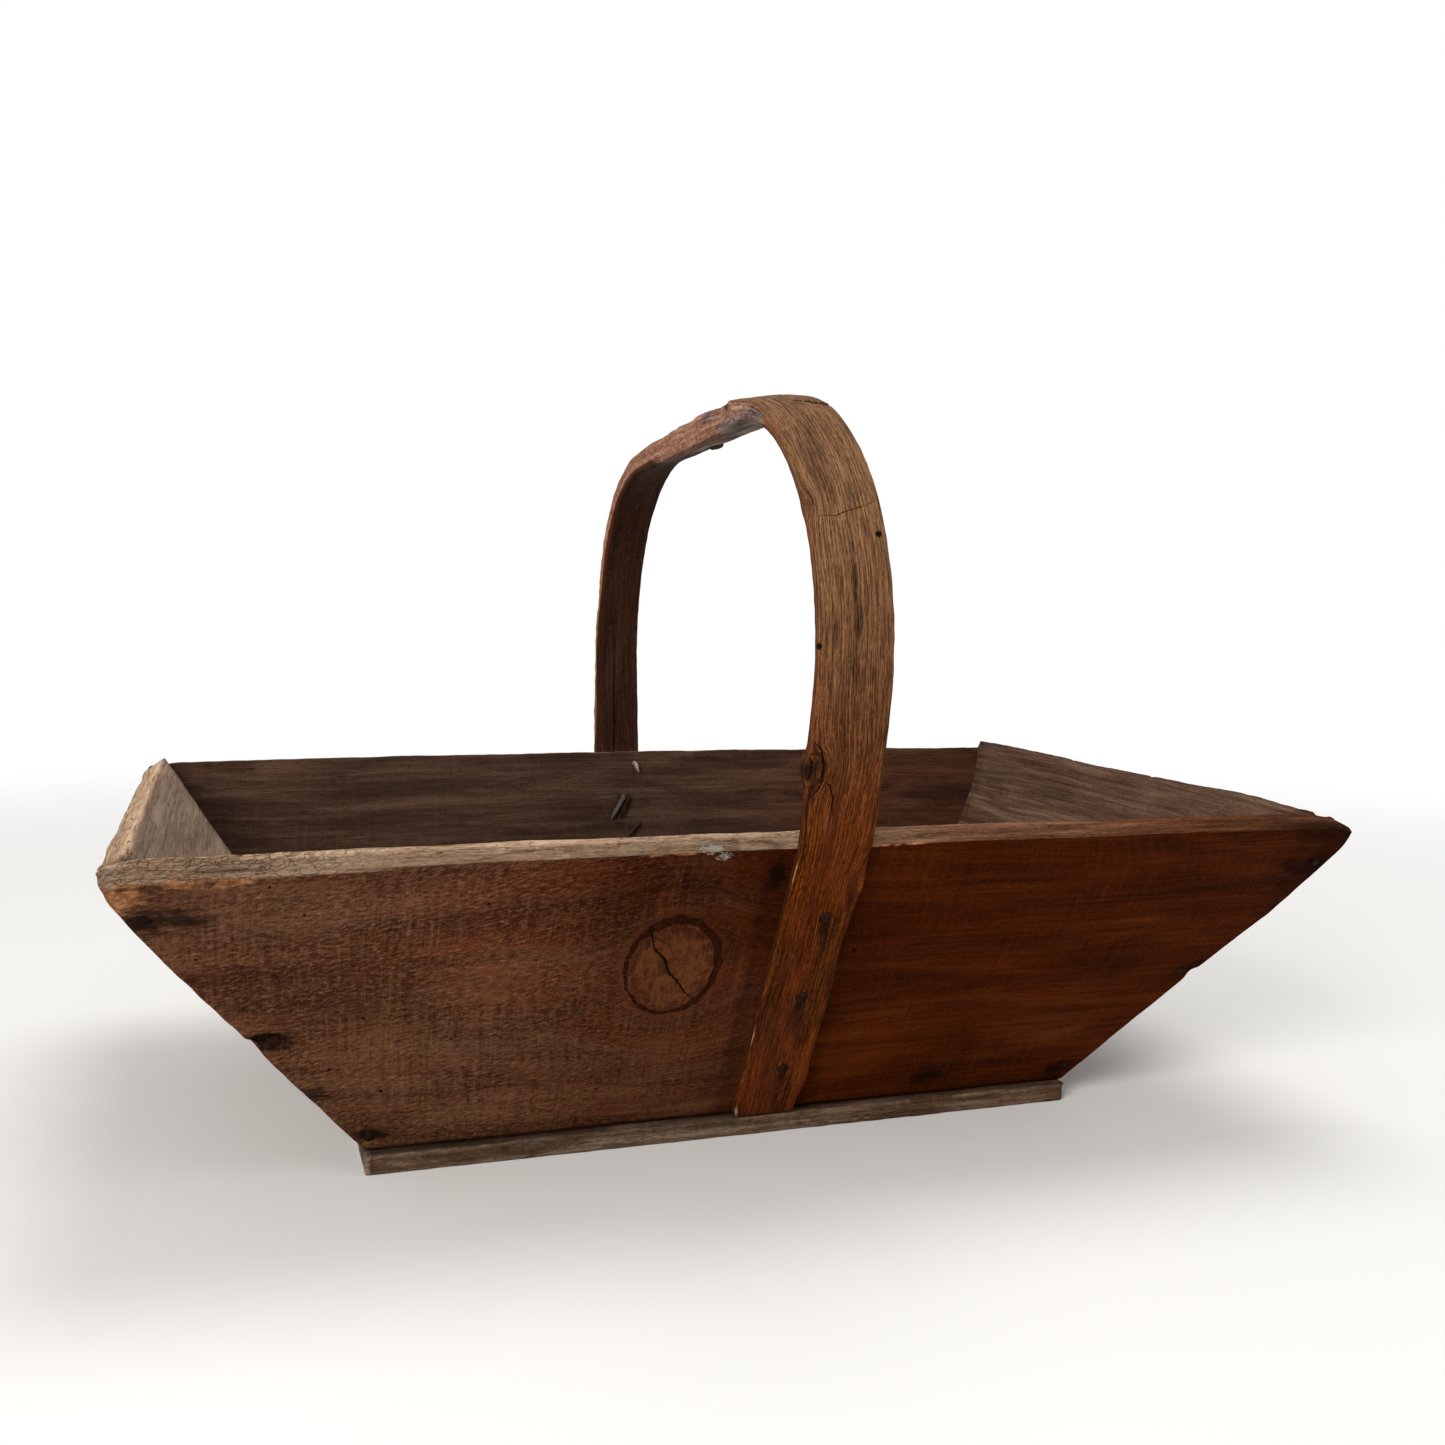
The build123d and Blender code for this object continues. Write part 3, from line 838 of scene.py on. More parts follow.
def make_board(name, node, material, wall, corners, sizes, gaps, seed, shape, radius_of, crown=None,
               tips=(), windows=((), (), ()), wear=0.5):
    """Board between eight corners, with rounded and worn arrises.

    sizes and gaps set its grid, finer in windows. radius_of gives the arris's radius at a place, crown how far
    the upper edge stands up, tips are rounded corners (far along, far up, radius), and shape changes fields
    and returns how far the skin is pushed out.
    """
    lengths = [np.linalg.norm(np.diff(corners, axis=axis), axis=-1).max() for axis in range(3)]
    mirrored = np.cross(wall.along, wall.up) @ wall.out < 0
    places, charts = shell(sizes, gaps, windows)
    flat = lay_out(charts, places, lengths)
    quads = join(charts)
    grain = wall.grain(spread(places, corners))
    for tip in tips:
        places = round_corner(places, lengths, *tip)
    rough = places * lengths
    radius = radius_of(grain) * (1 + 0.35 * noise(rough, 19.0, seed) + 0.2 * noise(rough, 6.0, seed + 1))
    places = round_edges(places, lengths, np.clip(radius, 0.35, min(lengths) / 2 - 0.05))
    crowned = places.copy()
    if crown is not None:
        crowned[:, 1] *= 1 + crown(grain) / lengths[1]
    points = spread(crowned, corners)
    normals = normals_of(points, quads[:, ::-1] if mirrored else quads)
    from_face = np.sort(np.minimum(places, 1 - places) * lengths, axis=1)
    edge = np.exp(-from_face[:, 1] / 2.6)
    push = -wear * edge * (0.35 + 0.65 * noise(points, 23.0, seed + 2) + 0.45 * noise(points, 7.0, seed + 3))
    push -= 0.22 * (1 - edge) * (0.5 + 0.5 * noise(points, (60.0, 34.0, 34.0), seed + 4))
    fields = Fields(len(points))
    fields["worn"] = edge * (0.5 + 0.5 * noise(points, 31.0, seed + 5)) * 0.9
    fields["inside"] = smooth(0.35, 0.65, grain[:, 2] / lengths[2])
    push = np.minimum(push, 0.0) + shape(grain, fields, edge)
    fields["grain"] = grain
    points = settle(points + normals * push[:, None], node)
    add_piece(name, points, quads, flat, fields, material, node, mirrored)


# Boards

NAIL_INSET = END_THICKNESS / 2 / cos(END_LEAN)
# Places of the corner nails along and up the outer face of a side, for its right half
NAIL_PLACES = [(BASE_LENGTH / 2 + up * END_SPREAD - NAIL_INSET, up * SIDE_SLOPE) for up in CORNER_NAIL_SHARES]
KNOT_CENTRE = (-47.5, 86.9)
KNOT_CRACK = (
    (-60, 108.5), (-57.5, 103), (-56.2, 97), (-51, 91), (-48.6, 84), (-44.4, 79.5), (-40.5, 73), (-36, 68.5),
)
# Spots on the front: along, up, half length, half height, strength. The one beside the strap, at -13 along, is
# partly dirt and partly painted shadow of the strap.
FRONT_STAINS = (
    (-226, 124, 22, 8, 0.8), (-218, 98, 9, 5, 0.45), (-199, 99, 8, 5, 0.4), (-204, 83, 10, 5, 0.4),
    (-192, 63, 13, 7, 0.85), (-177, 35, 9, 5, 0.6), (-156, 9, 13, 5, 0.8), (83, 10, 13, 7, 0.7),
    (106, 33, 4, 6, 0.4), (89, 48, 5, 5, 0.35), (152, 7, 10, 6, 0.8), (203, 65, 13, 7, 0.8),
    (233, 121, 28, 8, 0.75), (-13, 131, 5, 14, 0.7), (70, 38, 16, 3, 0.3), (-60, 12, 16, 5, 0.35),
    (-116, 146, 4, 2.5, 0.9), (-176, 146, 6, 2.5, 0.5), (24, 146, 12, 3.0, 0.5), (-84, 146, 9, 2.0, 0.4),
)
FRONT_PAINT = ((-57, 145.5, 6, 1.4, 0.75), (-41, 143.5, 6, 2.6, 0.85), (-36, 140, 4, 2.4, 0.7))
FRONT_FADED = ((-186, 126, 70, 16, 0.9), (-110, 55, 40, 22, 0.3))
FRONT_WARM = ((-125, 98, 60, 24, 1.0),)
FRONT_DENTS = (
    (-229.8, 124.2, 5.0, 4.4, 0.9), (-193, 63.1, 8.0, 5.2, 2.4), (-155.1, 7.9, 6.5, 4.2, 1.5),
    (229.8, 124.2, 4.6, 4.4, 0.8), (193.5, 63.1, 6.5, 4.6, 1.6), (155.1, 7.9, 4.6, 4.2, 1.2),
)
# The same for its worn arris, up from the rim
RIM_WEAR = ((-216, -4, 26, 3.4, 1.1), (-60, -1, 30, 1.6, 0.8), (20, -1, 40, 1.6, 0.9))
# Worm holes: along, up, radius
FRONT_HOLES = (
    (-159, 72, 0.8), (-171, 47, 0.8), (-152, 33, 0.9), (-127, 58, 0.7), (-215, 106, 0.6), (-118, 123, 0.7),
    (-180, 123, 0.5), (-193, 136, 0.5), (-115, 23, 0.6), (-69, 23, 0.6), (-130, 7, 0.6), (28, 89, 0.8),
    (-99, 95, 0.5), (62, 54, 0.5), (131, 84, 0.5),
)
CLINCH_STAINS = ((3, 117, 9, 8, 0.5), (-1, 103, 7, 8, 0.4), (9, 137, 4, 3, 0.3), (7, 30, 8, 7, 0.4))
BASE_STAINS = [
    (share * BASE_LENGTH / 2, side * (FLOOR_WIDTH / 2 - 10), 9, 7, 0.8)
    for share in BASE_SIDE_NAIL_SHARES
    for side in (FRONT, BACK)
]


def front_shape(grain, fields, edge):
    x, up, depth = grain.T
    top = up - SIDE_SLOPE
    outer = fade(2.0, 5.0, depth)
    from_end = BASE_LENGTH / 2 + up * END_SPREAD / SIDE_SLOPE - np.abs(x)
    fields.add("rim", smooth(-1.8, -0.2, top), fade(-225, -110, x) * smooth(-5.0, -2.0, top))
    fields["dull"] = smooth(-40, 60, x) * 0.85 + 0.15 * smooth(60, 190, x)
    fields["scales"] = fade(-200, -120, x) * smooth(-7, -2, top)
    fields["stain"] = ellipses(x, up, FRONT_STAINS) * np.maximum(outer, top > -0.5)
    # Darker beside the strap: partly dirt, partly painted shadow of the strap; also darker towards the left end
    # and the right tip
    by_strap = np.exp(-((x + 13 + up * 0.02) / 5.0) ** 2)
    left_end = (x < 0) * fade(0, 60, from_end)
    outer_dark = np.maximum.reduce((0.5 * by_strap, 0.16 * left_end, 0.75 * smooth(188, 238, x)))
    # Painted shade in the inner corner, where the board meets the base
    inner_corner_shade = 0.6 * smooth(6.0, 8.5, depth) * fade(0, 25, up)
    # Darker on the rim towards the right tip
    rim_tip_dark = 0.55 * smooth(150, 225, x) * smooth(-2, -0.5, top)
    # Painted shade along the foot, where the board stands on the base's ledge
    foot_shade = np.maximum(fade(0.6, 3.0, up), 0.5 * fade(2, 16, up) * smooth(-60, 120, x))
    fields.add("grime_and_shade", outer_dark * outer, inner_corner_shade, rim_tip_dark, foot_shade)
    patchy = 0.75 + 0.5 * noise(grain, (6.0, 4.0, 5.0), 52) + 0.35 * noise(grain, 2.5, 53)
    tip = 1.5 * fade(0.2, 1.5, np.hypot((x + 248) / 19, (up - 135) / 15))
    tip *= 1 - 0.7 * smooth(-3.5, -1.0, top)
    fields["worn"] *= 1 - 0.6 * smooth(60, 160, x)
    fields.add("worn", tip * patchy, ellipses(x, top, RIM_WEAR) * patchy * outer)
    warm = (0.2 + 0.7 * smooth(-190, -90, x)) * (0.35 + 0.65 * smooth(30, 70, up))
    fields.add("warm", warm * outer, ellipses(x, up, FRONT_WARM) * outer)
    high = 0.55 + 0.45 * smooth(75, 110, up)
    fields["deep"] = outer * np.minimum(0.75 * high * smooth(-120, -60, x) + 0.75 * smooth(-50, 60, x), 1.0)
    fields["fuzz"] = 1 - 0.9 * smooth(-70, 20, x)
    fields["faded_and_lit"] = ellipses(x, up, FRONT_FADED) * outer
    fields["paint"] = ellipses(x, up, FRONT_PAINT) * outer
    knot = np.hypot((x - KNOT_CENTRE[0]) / 20, (up - KNOT_CENTRE[1]) / 25)
    push = 0.35 * fade(0.8, 1.3, knot) * outer * (1 - edge)
    push -= 0.9 * fields.open_crack(x, up, outer, KNOT_CRACK, 0.6) + dents(x, up, FRONT_DENTS) * outer
    ragged = np.exp(-np.maximum(from_end, 0) / 2.5) * (x < 0)
    return push - ragged * 0.5 * np.abs(noise(grain, (17.0, 11.0, 14.0), 51))


def back_shape(grain, fields, edge):
    x, up, depth = grain.T
    outer, inner = fade(2.0, 5.0, depth), smooth(6.0, 8.5, depth)
    nails = [(side * cx, cy) for side in (LEFT, RIGHT) for cx, cy in NAIL_PLACES]
    fields["rim"] = 0.7 * smooth(-1.6, -0.2, up - SIDE_SLOPE)
    stains = ellipses(x, up, [(*nail, 11, 6, 0.7) for nail in nails])
    fields.add("stain", stains * outer, ellipses(x, up, CLINCH_STAINS) * inner)
    # Painted shade along the foot and in the inner corner by the base
    fields.add("grime_and_shade", fade(0.6, 3.0, up), inner * fade(0, 25, up) * 0.6)
    fields["warm"] = outer * 0.35
    fields["deep"] = np.maximum(outer * 0.35, inner * 0.4 * smooth(0, 160, x))
    fields["fuzz"] += 0.5
    return -dents(x, up, [(*nail, 5.5, 4.4, 1.0) for nail in nails]) * outer


def from_cheek(y, up):
    """How far a place of an end board lies from where it meets the side boards."""
    return FLOOR_WIDTH / 2 + up * (SIDE_SPREAD / END_SLOPE) - 11.5 - np.abs(y)


def end_shape(face, grain, fields, edge):
    y, up, depth = grain.T
    top = up - END_SLOPE
    outer = fade(2.0, 5.0, depth)
    fields["rim"] = smooth(-2.8, -0.2, top)
    fields["scales"] = 0.8 * smooth(-5, -2, top) * (face == LEFT) * (0.15 + 0.85 * fade(-146, -128, y))
    # Painted shade along the foot, in the inner corner by the base, and near the joints with the side boards
    fields.add("grime_and_shade", fade(0.6, 3.0, up), (1 - outer) * fade(0, 28, up) * 0.5)
    fields.add("grime_and_shade", 0.45 * fade(0, 14, from_cheek(y, up)))
    fields["warm"] = fields["deep"] = outer * 0.25
    fields["fuzz"] += 0.5
    nicks = smooth(0.35, 0.8, noise(grain, (5.0, 60.0, 60.0), 60 + face))
    return -np.exp(-np.maximum(-top, 0) / 3.0) * nicks * smooth(5.0, 11.0, depth) * 0.6


def base_shape(grain, fields, edge):
    x, y, depth = grain.T
    under = smooth(5.0, 7.0, depth)
    ledge = np.abs(y) > FLOOR_WIDTH / 2 - 1
    inset = np.minimum(BASE_LENGTH / 2 - 16 - np.abs(x), FLOOR_WIDTH / 2 - 12 - np.abs(y))
    fields["stain"] = ellipses(x, y, BASE_STAINS) * under
    # Darker all over the ledge; on the upper face, painted shade along the walls
    fields["grime_and_shade"] = np.where(ledge, 0.35, (1 - under) * fade(0, 22, inset) * 0.7)
    fields["rim"] = 0.9 * smooth(BASE_LENGTH / 2 - 4.0, BASE_LENGTH / 2 - 0.5, -x)
    fields["deep"] = 0.3 * smooth(-40, 140, x)
    fields["fuzz"] += 0.6
    fields["pale"] = 0.35 * edge * ledge * (noise(grain, (24.0, 9.0, 9.0), 54) > 0.0) * (depth < 3)
    return 0.0


def side_radius(face, grain):
    x, up, depth = grain.T
    worn = fade(-235, -95, x) * smooth(-30, -10, up - SIDE_SLOPE) * fade(3.0, 9.0, depth)
    return 1.0 + 3.0 * worn * (face == FRONT)


def end_radius(face, grain):
    y, up, depth = grain.T
    more = 1.4 if face == LEFT else 1.0
    radius = 1.6 + more * smooth(-14, -4, up - END_SLOPE) * fade(3.0, 9.0, depth)
    return 0.5 + (radius - 0.5) * smooth(0, 9, from_cheek(y, up))


def wave(along, length, seed):
    return 0.5 * noise(np.stack([along, along * 0, along * 0], axis=1), length, seed)


def side_crown(grain):
    x = grain[:, 0]
    worn = 1.8 * smooth(232, 252, -x) + 1.9 * smooth(237, 251, x)
    return RIM_CROWN * (1 - (2 * x / RIM_LENGTH) ** 2) + wave(x, 46.0, 70) - worn


def end_crown(face, grain):
    y = grain[:, 0]
    raised, cut = (2.2, 2.9) if face == RIGHT else (0.0, 0.7)
    worn = cut * smooth(100, 150, -y) + 0.7 * smooth(134, 152, y)
    return 0.4 + wave(y, 38.0, 71 + face) + raised * smooth(10, 110, y) - worn


front_wood = wood(
    "front_wood", OLD_OUTER, OLD_INNER, RIM_TAN, 1, ring_gap=8.0, figure=(0.34, 0.25, 0.3, 0.28), saw=1.0,
    fuzz=1.0, knots=((*KNOT_CENTRE, 19.2, 25.2, 0.12, 0.0, 1.0),), holes=FRONT_HOLES, checks=0.4,
    faded_and_lit=OLD_FADED, dull_rim=RIM_BROWN,
)
back_wood = wood(
    "back_wood", OLD_OUTER, OLD_INNER, RIM_DARK, 2, pith=(90.0, 60.0), saw=0.7, fuzz=0.5, checks=0.5,
)
left_wood = wood(
    "left_wood", OLD_OUTER, GREY_INNER, RIM_PALE, 3, pith=(60.0, 80.0), figure=(0.3, 0.3, 0.5, 0.3), saw=0.4,
    fuzz=0.4, checks=0.8,
)
right_wood = wood(
    "right_wood", OLD_OUTER, BROWN_INNER, RIM_DARK, 4, pith=(20.0, 50.0), ring_gap=4.0,
    figure=(0.4, 0.3, 0.4, 0.3), saw=0.3, fuzz=0.4, checks=0.8,
)
base_wood = wood(
    "base_wood", BASE_FACE, BASE_FACE, GREY_INNER, 5, pith=(0.0, 70.0), saw=0.4, fuzz=0.4, checks=0.9,
)

# Gaps of the grids, in the middle and near the ends
WALL_GAPS = ((2.2, 0.6), (2.2, 0.35), (1.6, 0.35))
BASE_GAPS = ((2.4, 0.5), (2.4, 0.5), (1.4, 0.35))
# Where the front's grid is finer, for its knot: place, reach, gap
NO_WINDOWS = ((), (), ())
KNOT_WINDOWS = (((KNOT_CENTRE[0] + RIM_LENGTH / 2, 16.0, 0.9),), ((KNOT_CENTRE[1], 24.0, 0.9),), ())

end_planes = [wall.plane() for wall in ENDS.values()]
cheek_planes = [wall.plane(SIDE_THICKNESS) for wall in SIDES.values()]
for face, node, material, shape, right_tip, windows in (
    (FRONT, "front_side", front_wood, front_shape, 4.2, KNOT_WINDOWS),
    (BACK, "back_side", back_wood, back_shape, 7.0, NO_WINDOWS),
):
    make_board(
        node + "_board", node, material, SIDES[face],
        wall_corners(SIDES[face], SIDE_THICKNESS, SIDE_SLOPE, end_planes),
        (RIM_LENGTH, SIDE_SLOPE, SIDE_THICKNESS), WALL_GAPS, 10 + face, shape, partial(side_radius, face),
        side_crown, tips=((0, 1, 7.0), (1, 1, right_tip)), windows=windows,
    )
for face, node, material in ((LEFT, "left_end", left_wood), (RIGHT, "right_end", right_wood)):
    make_board(
        node + "_board", node, material, ENDS[face],
        wall_corners(ENDS[face], END_THICKNESS, END_SLOPE, cheek_planes),
        (RIM_WIDTH, END_SLOPE, END_THICKNESS), WALL_GAPS, 20 + face, partial(end_shape, face),
        partial(end_radius, face), partial(end_crown, face),
    )
half_x, half_y = BASE_LENGTH / 2, FLOOR_WIDTH / 2 + BASE_LEDGE
make_board(
    "base_board_plank", "base_board", base_wood, FLOOR,
    np.reshape(list(product((-half_x, half_x), (-half_y, half_y), (0.0, BASE_THICKNESS))), (2, 2, 2, 3)),
    (BASE_LENGTH, 2 * half_y, BASE_THICKNESS), BASE_GAPS, 30, base_shape, lambda grain: 0.9,
    tips=[(*corner, 3.0) for corner in product((0, 1), repeat=2)],
)


# Nails through the handle: place across the strap, place up the slope, the same two where the shank comes out,
# length of the bent tip, its direction in degrees, and how bare its metal is
FRONT_STRAP_NAILS = (
    (0.09, 0.21, 0.08, 0.2, 0.36, 24.0, 0.0),
    (0.07, 0.49, 0.07, 0.5, 0.4, -12.0, 0.0),
    (0.1, 0.787, 0.08, 0.78, 0.38, 31.0, 0.2),
)
BACK_STRAP_NAILS = (
    (0.02, 0.22, 0.03, 0.21, 0.38, 18.0, 0.0),
    (0.2, 0.71, 0.15, 0.7, 0.33, 43.0, 0.05),
    (-0.2, 0.83, -0.1, 0.815, 0.45, 34.0, 0.25),
    (0.08, 0.825, 0.01, 0.808, 0.36, 27.0, 0.0),
)
RIM_NAIL = ((0.26, 0.94, 0.21, 0.957, 0.12, -14.0, 1.0),)


# Handle

def strap_path():
    feet = [SIDES[face].at(STRAP_OFFSET, 0) for face in (FRONT, BACK)]
    bends = [SIDES[face].at(STRAP_OFFSET, SIDE_SLOPE + BEND_RISE) for face in (FRONT, BACK)]
    corners = [
        np.array((STRAP_OFFSET, across * RIM_WIDTH / 2, RIM_HEIGHT + up * BOW_RISE))
        for across, up, radius in BOW_CORNER_SHARES
    ]
    points = [feet[0], bends[0], *corners, bends[1], feet[1]]
    reach = BEND_RISE * BEND_START_SHARE
    bow_radii = [share * BOW_RISE for across, up, share in BOW_CORNER_SHARES]
    front_radius, back_radius = (reach * tan(half_angle(*three)) for three in (points[:3], points[4:]))
    return rounded_path(points, [front_radius, *bow_radii, back_radius])


STRAP_GAPS = ((1.5, 0.6), (1.0, 0.3), (0.8, 0.25))
STRAP_WINDOWS = (((177, 10, 0.9), (337, 8, 0.6), (376, 8, 0.9)), (), ())
# Bumps: place along in mm, across from -1 to 1, length, reach across, height of the edge, height of the face
STRAP_BUMPS = (
    (177.0, -1.0, 7.5, 0.45, 2.6, 0.8),
    (128.0, 1.0, 9.0, 0.4, 0.9, 0.4),
    (275.0, -1.0, 6.0, 0.3, 0.4, 0.2),
    (371.0, -1.0, 6.0, 0.5, 0.8, 1.0),
    (389.0, -1.0, 8.0, 0.7, 0.0, -0.9),
    (412.0, -1.0, 15.0, 0.8, 0.5, 0.4),
    (452.0, -1.0, 15.0, 0.8, 0.5, 0.6),
    (496.0, -1.0, 16.0, 0.8, 0.5, 0.6),
    (4.0, 1.0, 12.0, 0.5, -1.6, 0.0),
    (22.0, 1.0, 9.0, 0.4, 0.7, 0.0),
    (0.0, -1.0, 5.0, 0.4, -0.8, 0.0),
    (98.0, 1.0, 14.0, 0.4, -0.8, 0.0),
)
# Knots: along and across in mm, half length, half width, lean, dark heart, clear collar
STRAP_KNOTS = (
    (176.5, -13.5, 7.0, 6.0, 0.7, 0.9, 0.5),
    (128.5, 16.5, 6.0, 4.5, -0.5, 0.7, 0.15),
    (274.5, -15.0, 5.0, 3.4, 0.2, 0.3, 0.1),
    (377.0, -12.5, 3.4, 3.8, 0.0, 1.0, 0.8),
)
STRAP_HOLES = ((260.6, 11.2, 1.2), (221.6, -13.4, 1.2), (95.0, -6.0, 0.5), (140.0, 4.0, 0.5))
# Stains: along, across, half length, half width, strength
STRAP_STAINS = (
    (239, 0.4, 25, 1.2, 0.8), (232, 0.8, 9, 2.2, 0.7), (217, -0.4, 7, 3.0, 0.55), (256, 0.6, 9, 1.2, 0.6),
    (177, -13.5, 6, 3.0, 0.75), (168, -12.0, 7, 2.0, 0.7), (187, -11.5, 8, 2.0, 0.7), (173, -7.0, 3, 4.0, 0.5),
    (120, 11, 7, 2.5, 0.5), (377, -12.5, 3.6, 3.4, 1.1), (371, -7.0, 4.0, 5.0, 0.4), (200, 3.0, 14, 4.0, 0.35),
    (181, 6.0, 10, 5.0, 0.35), (100, -3.0, 22, 4.0, 0.3), (50, 6.0, 20, 5.0, 0.35), (96, 5.0, 14, 4.5, 0.45),
    (57, 3.5, 14, 4.0, 0.5), (12, 4.5, 16, 6.0, 0.5), (140, 7.0, 16, 3.0, 0.4), (150, -2.0, 12, 3.0, 0.3),
    (30, -4.0, 12, 3.0, 0.35), (82, -7.0, 10, 2.5, 0.3),
)
STRAP_CHIP = ((3, -14.0, 4.5, 1.2, 0.5),)
BELLY_GREY = ((345, -8, 26, 6, 0.5),)
STRAP_FUZZ = ((162, -4.5, 13, 2.4, 0.8), (205, -9, 20, 4, 0.3))
BELLY_HOLE = (467, 12)
TOP_CRACK = ((341, 1.5), (339, 4.4), (337.6, 7.2), (335, 9.6), (334.4, 11.5), (331.5, 14.5), (327, 21))
CROSS_HAIRLINE = ((268.5, -11), (269.6, -9.3), (268.6, -4), (270.4, 2), (271.5, 7), (273.5, 13.5))
KNOT_CURLS = (
    ((188, -13.5), (184.5, -10), (179, -8.0), (173, -8.2), (168.5, -10.2), (165.5, -13.5)),
    ((182, -13.5), (179.5, -11.6), (176, -11.4), (173, -13.2)),
    ((173, -8.2), (170.5, -5.5), (166, -4.4), (160, -4.0)),
)
FAR_LEG_CRACK = ((658, -1.6), (690, -2.4), (712, -1.8), (727, -2.2), (760, -1.5))


class Strap:
    """Skin of the handle on its bent path, with the places of its vertices along, across and into the wood."""

    def __init__(self):
        even, line = strap_path()
        self.length = even[-1]
        sizes = (self.length, STRAP_WIDTH, BRANCH_THICKNESS / 2)
        places, charts = shell(sizes, STRAP_GAPS, STRAP_WINDOWS)
        self.flat = lay_out(charts, places, (self.length / 2.5, *sizes[1:]))
        self.quads = join(charts)
        places = round_edges(places, (self.length, STRAP_WIDTH, STRAP_THICKNESS), self.edge_radius(places))
        self.along = places[:, 0] * self.length
        self.across = places[:, 1] * 2 - 1
        self.across_mm = self.across * STRAP_WIDTH / 2
        self.into = (1 - places[:, 2]) * STRAP_THICKNESS
        self.bow = self.bow_place(self.along)
        self.edge = np.exp(-np.minimum(places[:, 1], 1 - places[:, 1]) * STRAP_WIDTH / 2.0)
        self.outer = fade(1.0, 2.5, self.into)
        self.inner = smooth(STRAP_THICKNESS - 2.5, STRAP_THICKNESS - 1.0, self.into)
        self.bend(even, line, places[:, 2])
        self.rough = np.stack([self.along, self.across * 14, self.depth], axis=1)
        self.fields = Fields(len(places))
        self.heads = [(SIDE_SLOPE * row[1], STRAP_WIDTH * row[0]) for row in FRONT_STRAP_NAILS]
        back_rows = BACK_STRAP_NAILS + RIM_NAIL
        self.heads += [(self.length - SIDE_SLOPE * row[1], STRAP_WIDTH * row[0]) for row in back_rows]

    def bow_place(self, along):
        """0 at the front rim and 1 at the back rim."""
        return (along - SIDE_SLOPE) / (self.length - 2 * SIDE_SLOPE)

    def edge_radius(self, places):
        along = places[:, 0] * self.length
        bow = np.clip(self.bow_place(along), 0, 1)
        bark = smooth(0.4, 0.46, bow) * fade(0.9, 1.0, bow) * fade(0.05, 0.45, places[:, 1])
        rough = noise(np.stack([along, places[:, 1] * 30, along * 0], 1), 14.0, 41)
        return np.clip(0.9 + 1.5 * bark + 0.25 * rough, 0.35, STRAP_THICKNESS / 2 - 0.05)

    def bend(self, even, line, share):
        """Lays the skin along its path, with its thickness and its twist."""
        rows = np.transpose(BOW_FORM_SHARES)
        width, left, middle, right, twist = (np.interp(self.bow, rows[0], row) for row in rows[1:])
        left, middle, right = (thick * BRANCH_THICKNESS for thick in (left, middle, right))
        front_leg = np.clip(self.along / SIDE_SLOPE, 0, 1)
        back_leg = np.clip((self.length - self.along) / SIDE_SLOPE, 0, 1)
        for leg, thick in ((front_leg, STRAP_THICKNESS), (back_leg, BACK_LEG_THICKNESS)):
            thin = thick - STRAP_CROWN
            left, middle, right = (
                foot + (top - foot) * leg for foot, top in ((thin, left), (thick, middle), (thin, right))
            )
        across = self.across
        self.tall = middle + (right - left) / 2 * across + ((left + right) / 2 - middle) * across ** 2
        self.depth = share * self.tall
        # The feet are sawn level, where they stand on the base board's ledge
        at = self.along + self.depth * tan(SIDE_LEAN) * (back_leg - front_leg)
        tangent = unit(follow(at, even, np.gradient(line, axis=0)))
        to_left = np.broadcast_to((-1.0, 0.0, 0.0), tangent.shape)
        outward = np.cross(tangent, to_left)
        turn = np.radians(twist)[:, None]
        self.left_axis = to_left * np.cos(turn) - outward * np.sin(turn)
        self.out_axis = outward * np.cos(turn) + to_left * np.sin(turn)
        aside = self.left_axis * (width * STRAP_WIDTH / 2 * across)[:, None]
        self.points = follow(at, even, line) - aside + self.out_axis * self.depth[:, None]

    def noise(self, size, seed):
        return noise(self.rough, size, seed)

    def find_bark(self):
        """Bark stays on the branch's round left side, and ends before the far leg's inner face."""
        flank = fade(-1.0, -0.96, self.across) * smooth(0.3, 0.34, self.bow)
        under = smooth(0.5, 0.8, self.into / STRAP_THICKNESS)
        turned = smooth(455, 495, self.along + 14 * self.across)
        belly = fade(-0.2, 0.35, self.across) * under * (1 - turned)
        rounded = fade(-0.95, -0.35, self.across) * (1 - under * turned)
        bark = smooth(0.407, 0.419, self.bow + 0.02 * self.across) * np.maximum(rounded, belly)
        self.bark = np.maximum(bark, flank) * fade(0.92, 1.02, self.bow)

    def crack(self, where, path, width):
        return self.fields.open_crack(self.along, self.across_mm, where, path, width)

